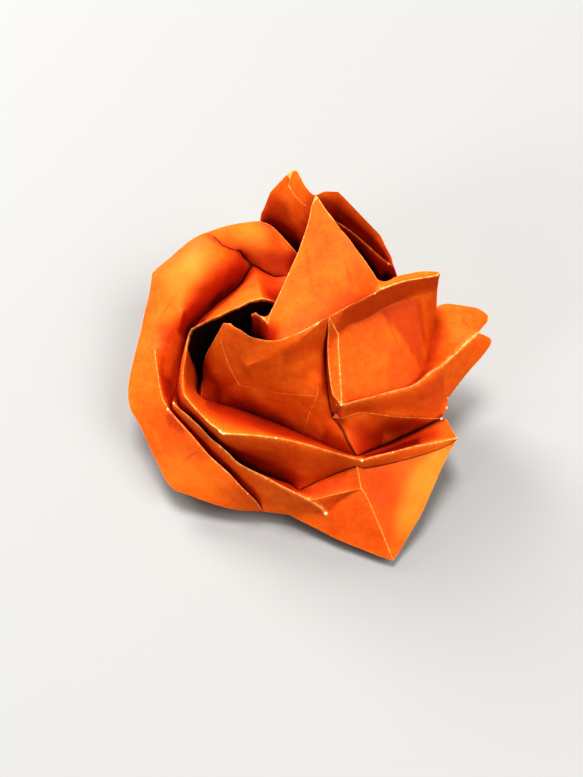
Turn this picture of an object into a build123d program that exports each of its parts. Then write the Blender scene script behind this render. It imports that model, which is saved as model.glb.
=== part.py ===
"""Origami rose folded from one square sheet of paper.

One sheet, one solid: every rim is a mountain fold and every gap between petals a valley fold of the same
sheet, from the bud down to the four locking flaps under the base.  Millimetres, +Z up, the rose rests on
Z = 0 with the middle of its base near the origin, and the tall petals stand at the back (+Y).
"""
import math
import os

from build123d import *

# driving dimensions
SHEET_SIDE = 150.0        # side of the flat square before folding
NET_SIDE = 150.0          # side of the square that the fold points below were taken for
PAPER_T = 0.25            # thickness of the folded skin
MITRE_MIN = 0.5           # limit on the mitre at sharp folds
SCALE = SHEET_SIDE / NET_SIDE

# fold points, grouped by the fold line they lie on
# outermost edge of the petals, clockwise from the tip of the pointed back petal
OUTLINE = [
    (-1.21, 32.46, 27.00), (-0.55, 31.77, 27.30), (0.73, 27.74, 28.30), (1.83, 25.24, 29.30), (2.45, 24.45, 30.00),
    (3.90, 25.17, 30.00), (5.98, 25.07, 30.00), (7.09, 24.01, 29.60), (8.68, 22.38, 29.00), (10.27, 20.92, 28.20),
    (11.71, 19.66, 27.40), (12.68, 18.82, 26.80), (13.62, 17.04, 26.00), (14.41, 15.69, 25.30),
    (14.71, 14.48, 24.80), (16.23, 14.14, 19.50), (16.56, 12.77, 24.60), (18.19, 13.30, 24.40),
    (19.83, 13.68, 24.20), (22.16, 13.69, 24.00), (21.97, 12.63, 20.80), (22.28, 11.84, 16.50),
    (23.05, 12.57, 16.30), (24.17, 12.66, 16.60), (27.03, 11.89, 17.00), (28.97, 11.50, 17.00),
    (30.23, 10.65, 16.80), (30.87, 9.87, 16.50), (29.93, 9.02, 15.70), (28.96, 8.01, 15.00), (30.39, 7.94, 14.20),
    (31.67, 7.70, 13.20), (30.88, 6.64, 12.40), (29.75, 5.45, 11.50), (28.09, 3.86, 10.60), (26.05, 1.51, 9.70),
    (24.19, -0.77, 8.70), (24.05, -2.24, 8.30), (23.09, -4.03, 7.80), (23.90, -4.22, 7.80), (24.63, -6.76, 8.40),
    (25.26, -8.30, 8.90), (24.10, -9.93, 8.20), (22.43, -12.93, 7.00), (20.76, -16.34, 5.60), (19.10, -19.60, 4.30),
    (17.47, -22.06, 3.20), (15.84, -24.52, 2.10), (14.70, -26.15, 1.50), (12.65, -25.51, 1.60), (9.49, -24.23, 1.80),
    (6.31, -22.94, 2.00), (3.12, -21.34, 2.30), (-0.09, -19.77, 2.70), (-1.70, -18.94, 3.00), (-3.81, -18.56, 2.80),
    (-6.24, -18.20, 2.70), (-9.79, -18.11, 2.90), (-12.21, -17.76, 3.30), (-13.82, -17.37, 3.60),
    (-16.24, -16.66, 4.00), (-17.86, -16.09, 4.30), (-20.27, -15.44, 4.80), (-21.59, -14.07, 5.30),
    (-22.79, -11.85, 5.90), (-24.53, -8.49, 6.80), (-26.29, -4.91, 7.70), (-27.69, -2.75, 8.20),
    (-28.29, -0.71, 8.60), (-28.31, 2.69, 9.00), (-27.75, 5.65, 9.90), (-27.19, 8.56, 10.60), (-26.63, 11.16, 11.20),
    (-26.09, 14.67, 12.00), (-25.55, 17.47, 12.40), (-25.26, 21.78, 12.80), (-24.04, 22.61, 13.40),
    (-22.30, 23.64, 14.30), (-20.54, 24.73, 15.40), (-18.78, 25.60, 16.50), (-17.00, 25.88, 17.80),
    (-15.75, 25.79, 18.60), (-13.77, 26.90, 18.40), (-11.73, 27.31, 18.70), (-9.32, 27.21, 19.50),
    (-6.93, 26.90, 20.30), (-7.04, 27.67, 16.20), (-6.44, 28.44, 20.50), (-5.92, 29.00, 21.40),
    (-4.88, 30.07, 24.00), (-2.54, 31.60, 26.00),
]
# rim of the second petal layer: mountain fold from the bud, round the left side and along the front
SPIRAL_RIM = [
    (-3.30, 12.10, 17.00), (-4.12, 10.54, 20.00), (-4.90, 9.93, 21.60), (-6.14, 9.35, 23.00), (-8.03, 8.78, 23.00),
    (-9.59, 7.83, 23.00), (-11.15, 7.07, 23.00), (-12.69, 6.12, 23.00), (-14.25, 5.50, 22.80), (-15.82, 4.83, 22.40),
    (-17.11, 4.47, 21.80), (-17.71, 3.81, 20.80), (-17.97, 2.76, 19.80), (-18.31, 0.84, 18.40),
    (-18.63, -1.21, 17.20), (-18.62, -3.06, 16.30), (-18.28, -4.42, 15.80), (-17.48, -5.28, 15.40),
    (-16.52, -6.32, 15.00), (-15.38, -7.47, 14.80), (-14.25, -8.66, 14.70), (-13.13, -9.50, 14.60),
    (-12.32, -10.33, 14.50), (-9.49, -10.66, 14.80), (-6.37, -10.98, 14.90), (-3.87, -11.27, 14.80),
    (-1.70, -11.56, 14.50), (1.42, -12.17, 14.00), (3.76, -12.76, 13.60), (6.10, -13.34, 13.20),
    (8.46, -13.74, 12.60), (9.55, -13.99, 12.40), (11.65, -13.04, 11.90), (14.59, -11.90, 11.20),
    (17.40, -10.74, 10.50), (20.74, -9.62, 9.70), (23.92, -8.67, 9.10),
]
# valley fold between the bud wall and the spiral rim
SPIRAL_VALLEY = [
    (-16.32, -1.35, 9.40), (-14.06, -1.47, 8.60), (-11.60, -2.00, 8.20), (-9.12, -2.64, 8.00), (-6.64, -3.66, 7.80),
    (-3.35, -5.04, 7.60), (-0.07, -6.71, 7.60), (3.16, -8.56, 8.00), (6.31, -10.70, 9.00), (8.92, -12.38, 10.40),
]
# the same valley carried on to the right side
SPIRAL_VALLEY_RIGHT = [
    (10.95, -9.87, 7.00), (13.16, -7.64, 4.40), (15.72, -6.23, 4.20), (18.12, -5.60, 5.50), (20.49, -5.04, 6.90),
]
# bottom of the hole beside the bud
BUD_HOLE_FLOOR = [
    (-17.20, -0.02, 8.00), (-16.97, 1.36, 7.00), (-16.55, 2.53, 5.60), (-15.38, 3.57, 4.40), (-14.43, 3.93, 4.00),
    (-13.18, 4.52, 4.00), (-10.75, 5.22, 4.20), (-7.90, 8.27, 7.00), (-6.57, 8.56, 10.00), (-4.78, 7.98, 14.00),
]
# second valley inside the hole, behind the bud rim
BUD_HOLE_BRANCH = [
    (-8.48, 4.71, 9.00), (-6.19, 2.78, 13.50), (-4.89, 1.53, 19.50), (-3.09, 1.05, 22.80),
]
# left edge of the bud wall where it turns into the hole
BUD_WALL_EDGE = [
    (-11.87, 3.31, 25.00), (-12.73, 2.82, 23.20), (-13.44, 2.55, 21.60), (-14.94, 2.26, 17.60),
    (-15.63, 1.89, 14.20), (-15.78, 1.16, 11.60),
]
# long mountain fold over the bud wall up to the right-hand petal corner
BUD_RIM = [
    (-10.94, 3.15, 25.10), (-10.15, 2.45, 25.20), (-9.20, 1.77, 25.40), (-7.79, 0.48, 25.70), (-6.25, -0.18, 25.90),
    (-4.73, -0.52, 26.00), (-3.21, -0.49, 26.10), (-1.69, 0.16, 26.20), (-0.17, 0.82, 26.30), (1.36, 1.66, 26.40),
    (2.90, 2.76, 26.40), (4.28, 3.52, 26.50), (5.99, 4.62, 26.50), (7.56, 5.64, 26.50), (9.13, 6.57, 26.50),
    (10.71, 7.58, 26.40), (11.50, 8.05, 26.40), (12.32, 8.75, 26.20), (13.96, 9.79, 25.80), (15.59, 10.68, 25.50),
    (16.90, 11.27, 25.20), (18.89, 12.02, 24.70), (21.73, 13.10, 24.00),
]
# back edge of the narrow strip behind the bud rim
BUD_RIM_BACK = [
    (14.74, 11.90, 25.00),
]
# valley just behind the bud rim, at the foot of the tall petal
BUD_RIM_VALLEY = [
    (-0.14, 2.27, 23.20), (2.98, 4.17, 23.40), (6.13, 6.07, 23.50), (9.33, 8.06, 23.50), (11.42, 9.10, 24.60),
]
# left edge of the tall petal
TALL_PETAL_LEFT = [
    (1.81, 22.70, 29.40), (1.40, 20.60, 28.75), (0.84, 18.71, 28.10), (0.39, 17.43, 27.70), (-0.34, 15.40, 27.00),
    (-0.97, 14.01, 26.50), (-1.70, 12.44, 26.00), (-2.45, 10.75, 25.40), (-3.17, 9.19, 24.90), (-4.05, 7.32, 24.30),
    (-4.67, 6.12, 23.85), (-5.13, 4.61, 23.30),
]
# edge of the paper tucked inside the hole
INNER_TUCK = [
    (-7.75, 7.65, 21.00), (-7.10, 7.60, 21.50), (-6.12, 6.41, 22.00),
]
# valley along the left foot of the tall petal
TALL_PETAL_VALLEY = [
    (-2.70, 14.30, 16.80), (-2.00, 16.60, 16.40), (-1.25, 18.70, 16.20), (-0.45, 20.07, 14.00), (0.20, 21.17, 12.00),
    (1.15, 22.77, 14.50), (1.73, 23.94, 22.00),
]
# valley between the rolled petal and the pointed back petal
BACK_PETAL_VALLEY = [
    (-4.57, 26.95, 14.00), (-2.69, 25.26, 12.80), (-0.91, 23.12, 12.00),
]
# back edge of the rolled petal
ROLL_BACK_EDGE = [
    (-5.07, 26.05, 20.30), (-3.39, 24.46, 19.90), (-1.71, 22.47, 19.50), (-0.55, 20.97, 19.30),
]
# crease inside the pointed back petal
BACK_PETAL_CREASE = [
    (-1.88, 30.73, 25.00), (-1.05, 28.94, 25.10), (-0.23, 27.43, 25.40), (0.91, 25.68, 26.00),
]
# crease across the top of the rolled petal
ROLL_TOP_CREASE = [
    (-6.09, 25.54, 19.60), (-5.08, 24.40, 18.90), (-4.07, 22.83, 18.20), (-3.23, 21.40, 17.60),
    (-2.38, 19.98, 17.00),
]
# valley under the top of the rolled petal
ROLL_VALLEY_RIGHT = [
    (-8.07, 22.68, 13.60), (-7.20, 22.08, 13.70), (-5.98, 20.91, 14.00), (-4.26, 19.58, 14.40),
    (-2.73, 19.22, 15.20),
]
# valley between the rolled petal and the spiral wall
ROLL_VALLEY_LEFT = [
    (-9.11, 21.50, 12.60), (-10.32, 19.77, 11.50), (-12.01, 18.31, 11.20), (-13.69, 16.99, 11.00),
    (-15.34, 15.14, 11.00), (-16.98, 13.37, 10.90), (-18.09, 11.62, 10.80), (-19.03, 9.88, 10.70),
    (-19.60, 7.24, 10.50), (-19.90, 4.63, 10.30), (-20.03, 1.99, 10.20), (-20.42, -0.11, 10.20),
]
# ridge up the outer spiral wall to its peak
SPIRAL_WALL_RIDGE = [
    (-7.27, 19.14, 15.60), (-7.01, 16.34, 17.80),
]
# pinch between the two bulges of the rolled petal
ROLL_PINCH = [
    (-14.39, 24.99, 18.40), (-13.23, 24.07, 17.40), (-11.91, 23.93, 16.60),
]
# crack where the roll lies on the left petal
ROLL_CRACK = [
    (-10.25, 24.19, 15.70), (-9.61, 23.78, 14.40),
]
# top of the rolled petal
ROLL_TOP = [
    (-13.23, 25.22, 18.10), (-11.54, 24.95, 17.90), (-9.67, 24.58, 17.70), (-7.98, 23.80, 17.20),
    (-6.45, 22.57, 16.60), (-5.10, 21.13, 16.00),
]
# shoulder of the rolled petal
ROLL_SHOULDER = [
    (-10.62, 21.34, 17.40), (-12.52, 19.22, 18.60), (-14.93, 17.71, 19.00), (-16.55, 16.64, 18.80),
    (-17.82, 14.45, 18.20), (-18.45, 12.87, 17.60), (-19.10, 11.70, 17.00), (-20.60, 10.39, 16.00),
    (-22.60, 8.11, 14.40), (-23.86, 5.70, 13.60),
]
# sharp lower end of the left petal ridge
LEFT_PETAL_RIDGE_END = [
    (-23.42, 2.89, 13.80), (-22.94, 0.25, 13.80), (-22.50, -1.93, 13.70), (-22.03, -3.61, 13.40),
    (-21.19, -5.12, 13.00),
]
# crest of the rolled petal
ROLL_CREST = [
    (-17.47, 22.32, 18.60), (-19.24, 19.87, 18.00), (-21.09, 17.60, 16.60), (-22.56, 14.52, 15.20),
    (-23.63, 10.93, 14.00),
]
# dent in the side of the rolled petal
ROLL_DENT = [
    (-20.28, 9.34, 13.40), (-21.25, 6.31, 12.00), (-21.61, 2.81, 11.40), (-21.21, 0.49, 10.80),
]
# valley between the spiral wall and the narrow front flap
TUCK_FLAP_VALLEY = [
    (-19.05, -4.82, 11.40), (-18.07, -5.70, 11.00), (-17.01, -6.76, 10.40), (-15.63, -7.99, 9.60),
    (-14.28, -9.34, 8.60), (-12.95, -10.30, 7.60), (-11.78, -11.34, 6.80), (-9.84, -12.11, 6.20),
    (-7.18, -12.85, 5.60), (-4.36, -13.70, 5.20), (-1.70, -14.73, 5.40), (-0.18, -16.35, 6.20),
]
# rim of the narrow front flap
TUCK_FLAP_RIM = [
    (-20.36, -4.38, 13.80), (-19.82, -5.22, 14.00), (-18.66, -6.13, 14.00), (-17.50, -7.21, 14.00),
    (-15.90, -8.56, 13.50), (-14.31, -10.15, 12.80), (-12.73, -11.25, 12.20), (-11.15, -12.54, 11.60),
    (-10.20, -13.57, 11.20), (-7.99, -14.72, 10.70), (-6.41, -15.45, 10.40), (-4.84, -16.12, 10.00),
    (-3.27, -16.97, 9.60), (-1.70, -17.65, 9.20), (-0.12, -18.19, 8.50), (1.46, -18.64, 7.60), (3.06, -19.01, 6.30),
    (4.04, -19.73, 5.00),
]
# gap between the narrow flap and the lower rim of the rolled petal
ROLL_GAP = [
    (-20.77, -4.75, 11.60), (-18.93, -6.72, 11.00), (-17.54, -8.11, 10.30), (-15.94, -9.67, 9.50),
    (-14.35, -11.35, 8.50), (-12.77, -12.58, 7.70), (-11.19, -13.88, 6.90), (-9.83, -15.29, 6.00),
    (-8.26, -16.43, 5.00), (-6.96, -17.20, 4.00),
]
# lower rim of the rolled petal
ROLL_LOWER_RIM = [
    (-19.21, -7.30, 12.50), (-17.58, -9.01, 12.00), (-15.97, -10.79, 11.30), (-14.38, -12.34, 10.50),
    (-12.80, -13.53, 9.70), (-11.21, -14.77, 9.00), (-9.63, -16.22, 8.00), (-8.38, -17.16, 7.00),
    (-7.14, -17.78, 5.30),
]
# foot of the narrow flap on the front petal
FRONT_VALLEY = [
    (0.71, -19.03, 3.80), (2.62, -19.29, 4.20),
]
# small facet edge beside the flap tip
FRONT_STEP = [
    (4.83, -19.21, 5.40), (6.26, -17.71, 6.30), (9.53, -16.81, 8.40),
]
# valley between the spiral wall and the front corner petal
FRONT_PETAL_VALLEY = [
    (2.30, -15.09, 6.70), (4.69, -14.28, 7.60), (7.04, -13.90, 9.00), (8.84, -14.17, 11.00), (9.97, -14.23, 10.40),
    (12.58, -13.40, 9.60), (15.86, -12.30, 9.00), (20.82, -10.48, 8.40), (23.97, -9.13, 8.40),
]
# crease of the front corner petal down to its tip
FRONT_PETAL_CREASE = [
    (10.15, -17.62, 8.00), (10.95, -18.93, 7.10), (11.76, -20.51, 6.00), (12.72, -22.35, 4.70),
    (13.71, -24.24, 3.10),
]
# pleat line on the right of the bud wall
PLEAT_VALLEY = [
    (3.98, 2.90, 22.40), (3.93, 1.70, 19.60), (4.00, -0.20, 17.90), (4.30, -2.80, 15.90), (4.66, -4.90, 14.20),
    (5.20, -6.20, 12.20), (6.44, -7.60, 11.70), (7.36, -9.72, 11.30), (8.14, -11.12, 10.90),
]
# edge of the bud along the pleat
PLEAT_CRACK = [
    (3.50, 2.70, 23.00), (3.36, 1.60, 21.50), (3.42, -0.30, 19.70), (3.70, -2.90, 17.50), (4.05, -5.00, 15.70),
    (4.55, -6.40, 13.40), (5.74, -7.60, 12.50), (6.76, -9.72, 11.80),
]
# free edge of the pleat strip
PLEAT_STRIP_EDGE = [
    (4.31, 2.58, 23.00), (4.23, 1.56, 21.70), (4.32, -0.26, 20.20), (4.64, -2.89, 18.50), (5.03, -4.96, 17.40),
    (6.35, -6.51, 16.80),
]
# standing edge beside the pleat
PLEAT_EDGE = [
    (5.79, 2.84, 22.60), (5.81, 1.75, 21.40), (5.98, -0.14, 20.00), (6.13, -2.83, 18.40), (6.29, -4.91, 17.30),
]
# foot of the step under the bud rim
BUD_RIM_FOOT = [
    (7.56, 5.09, 22.20), (9.23, 5.97, 21.60), (10.81, 6.98, 21.40), (12.42, 8.15, 21.40), (14.06, 9.19, 21.40),
    (15.69, 10.08, 21.20), (18.99, 11.47, 21.40),
]
# rim of the right petal
RIGHT_PETAL_RIM = [
    (7.70, -5.95, 16.60), (10.89, -4.82, 16.20), (14.13, -3.51, 15.80), (17.39, -2.36, 15.40), (19.40, -0.95, 15.20),
    (20.78, 0.41, 15.10), (22.47, 1.60, 15.00), (24.19, 3.11, 15.00), (25.41, 4.25, 15.00), (26.82, 5.78, 15.00),
]
# valley behind the right petal rim
RIGHT_PETAL_VALLEY = [
    (7.60, -5.40, 15.60), (10.69, -4.22, 15.00), (13.88, -2.86, 14.40), (17.09, -1.66, 13.80), (18.95, -0.25, 13.40),
    (20.91, 3.88, 12.80), (21.38, 6.20, 12.80), (21.80, 8.75, 13.40), (22.14, 10.20, 14.20),
]
# soft bend at the right end of the front right petal
RIGHT_PETAL_BEND = [
    (17.92, 10.99, 20.90), (18.57, 9.09, 19.70), (19.31, 7.33, 17.70), (19.85, 5.22, 15.90), (20.25, 3.86, 14.40),
]
# foot of the right petal wall
RIGHT_PETAL_FOOT = [
    (6.50, -7.21, 14.00), (9.44, -5.80, 13.40), (12.04, -5.72, 12.60), (14.34, -5.65, 11.80), (16.01, -5.45, 11.10),
    (19.43, -4.77, 9.50),
]
# front rim of the narrow pleated petal
PLEATED_PETAL_FRONT = [
    (3.89, 22.50, 28.90), (5.15, 20.88, 28.40), (6.27, 20.29, 28.00), (7.55, 19.62, 27.50), (8.67, 18.85, 27.10),
    (9.78, 17.96, 26.70), (11.05, 16.95, 26.20), (12.32, 15.88, 25.70), (13.27, 15.19, 25.30),
]
# right edge of the tall petal
TALL_PETAL_RIGHT = [
    (6.26, 19.35, 27.80), (7.51, 17.78, 27.50), (8.58, 16.04, 27.20), (9.66, 14.50, 26.90), (10.72, 12.77, 26.60),
    (11.63, 11.26, 26.30), (12.41, 9.84, 25.60),
]
# valley between the tall petal and the pleated petal
PLEATED_PETAL_VALLEY = [
    (6.27, 20.02, 25.60), (7.53, 18.74, 22.40), (8.62, 17.42, 19.60), (9.71, 16.11, 17.60), (10.88, 14.75, 16.60),
    (11.97, 13.46, 16.20), (14.01, 13.53, 17.00),
]
# bottom of the pocket in the pleated petal
PLEATED_PETAL_POCKET = [
    (3.90, 23.84, 26.00), (5.57, 22.97, 23.60), (8.11, 21.04, 21.60), (10.02, 19.32, 20.20), (11.37, 18.19, 19.80),
    (12.97, 16.35, 20.40), (13.84, 15.43, 22.40),
]
# soft crease on the bud wall
BUD_WALL_CREASE = [
    (-12.45, 2.17, 22.20), (-11.50, 0.47, 18.40), (-10.61, -0.73, 16.40), (-9.69, -1.70, 14.90),
]
# second soft crease on the bud wall
BUD_WALL_CREASE_LOW = [
    (-7.76, -2.37, 15.10), (-3.28, -3.52, 15.50), (-0.12, -4.00, 15.70), (2.57, -4.23, 15.80),
]
# third soft crease on the bud wall
BUD_WALL_CREASE_RIGHT = [
    (2.69, -3.14, 18.00), (1.50, -5.36, 12.60), (0.57, -6.84, 8.20),
]
# bend under the lip of the bud
BUD_LIP = [
    (-8.38, -1.60, 20.60), (-6.62, -1.91, 22.30), (-4.75, -1.80, 23.60), (-2.00, -0.87, 25.00), (0.14, 0.33, 25.80),
    (1.67, 1.52, 26.20),
]
# fold ring half way down the outside
OUTER_WALL = [
    (24.00, 4.00, 7.00), (24.50, 9.50, 8.50), (20.50, 11.50, 9.00), (16.00, 13.50, 10.00), (12.50, 17.00, 12.00),
    (9.00, 21.00, 13.00), (4.00, 23.50, 13.00), (-1.00, 26.00, 12.00), (-6.60, 27.60, 10.50), (-12.00, 24.80, 9.00),
    (-17.50, 21.00, 7.50), (-20.80, 16.00, 6.00), (-22.50, 10.00, 5.50), (-24.00, 4.00, 4.50), (-24.30, -2.00, 3.60),
    (-22.00, -8.00, 2.60), (-17.50, -13.00, 1.50), (-10.50, -15.50, 1.10), (-3.00, -16.50, 1.10),
    (5.00, -19.00, 1.00), (13.00, -20.50, 1.00), (18.00, -16.00, 2.50), (21.50, -9.50, 4.50), (21.50, -3.50, 5.00),
]
# square base where the sheet turns under, three lengths to a side
BASE_RING = [
    (16.00, 12.00, 0.00), (5.50, 12.83, 0.00), (-5.00, 13.67, 0.00), (-15.50, 14.50, 0.00), (-16.17, 6.50, 0.00),
    (-16.83, -1.50, 0.00), (-17.50, -9.50, 0.00), (-7.00, -10.33, 0.00), (3.50, -11.17, 0.00), (14.00, -12.00, 0.00),
    (14.67, -4.00, 0.00), (15.33, 4.00, 0.00),
]
# tips of the four locking flaps under the base
FLAP_TIPS = [
    (1.36, 5.19, 0.00), (0.50, 4.11, 0.00), (1.29, 3.22, 0.00), (2.45, 3.90, 0.00),
]

LINES = [
    OUTLINE,
    SPIRAL_RIM,
    SPIRAL_VALLEY,
    SPIRAL_VALLEY_RIGHT,
    BUD_HOLE_FLOOR,
    BUD_HOLE_BRANCH,
    BUD_WALL_EDGE,
    BUD_RIM,
    BUD_RIM_BACK,
    BUD_RIM_VALLEY,
    TALL_PETAL_LEFT,
    INNER_TUCK,
    TALL_PETAL_VALLEY,
    BACK_PETAL_VALLEY,
    ROLL_BACK_EDGE,
    BACK_PETAL_CREASE,
    ROLL_TOP_CREASE,
    ROLL_VALLEY_RIGHT,
    ROLL_VALLEY_LEFT,
    SPIRAL_WALL_RIDGE,
    ROLL_PINCH,
    ROLL_CRACK,
    ROLL_TOP,
    ROLL_SHOULDER,
    LEFT_PETAL_RIDGE_END,
    ROLL_CREST,
    ROLL_DENT,
    TUCK_FLAP_VALLEY,
    TUCK_FLAP_RIM,
    ROLL_GAP,
    ROLL_LOWER_RIM,
    FRONT_VALLEY,
    FRONT_STEP,
    FRONT_PETAL_VALLEY,
    FRONT_PETAL_CREASE,
    PLEAT_VALLEY,
    PLEAT_CRACK,
    PLEAT_STRIP_EDGE,
    PLEAT_EDGE,
    BUD_RIM_FOOT,
    RIGHT_PETAL_RIM,
    RIGHT_PETAL_VALLEY,
    RIGHT_PETAL_BEND,
    RIGHT_PETAL_FOOT,
    PLEATED_PETAL_FRONT,
    TALL_PETAL_RIGHT,
    PLEATED_PETAL_VALLEY,
    PLEATED_PETAL_POCKET,
    BUD_WALL_CREASE,
    BUD_WALL_CREASE_LOW,
    BUD_WALL_CREASE_RIGHT,
    BUD_LIP,
    OUTER_WALL,
    BASE_RING,
    FLAP_TIPS,
]

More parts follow.
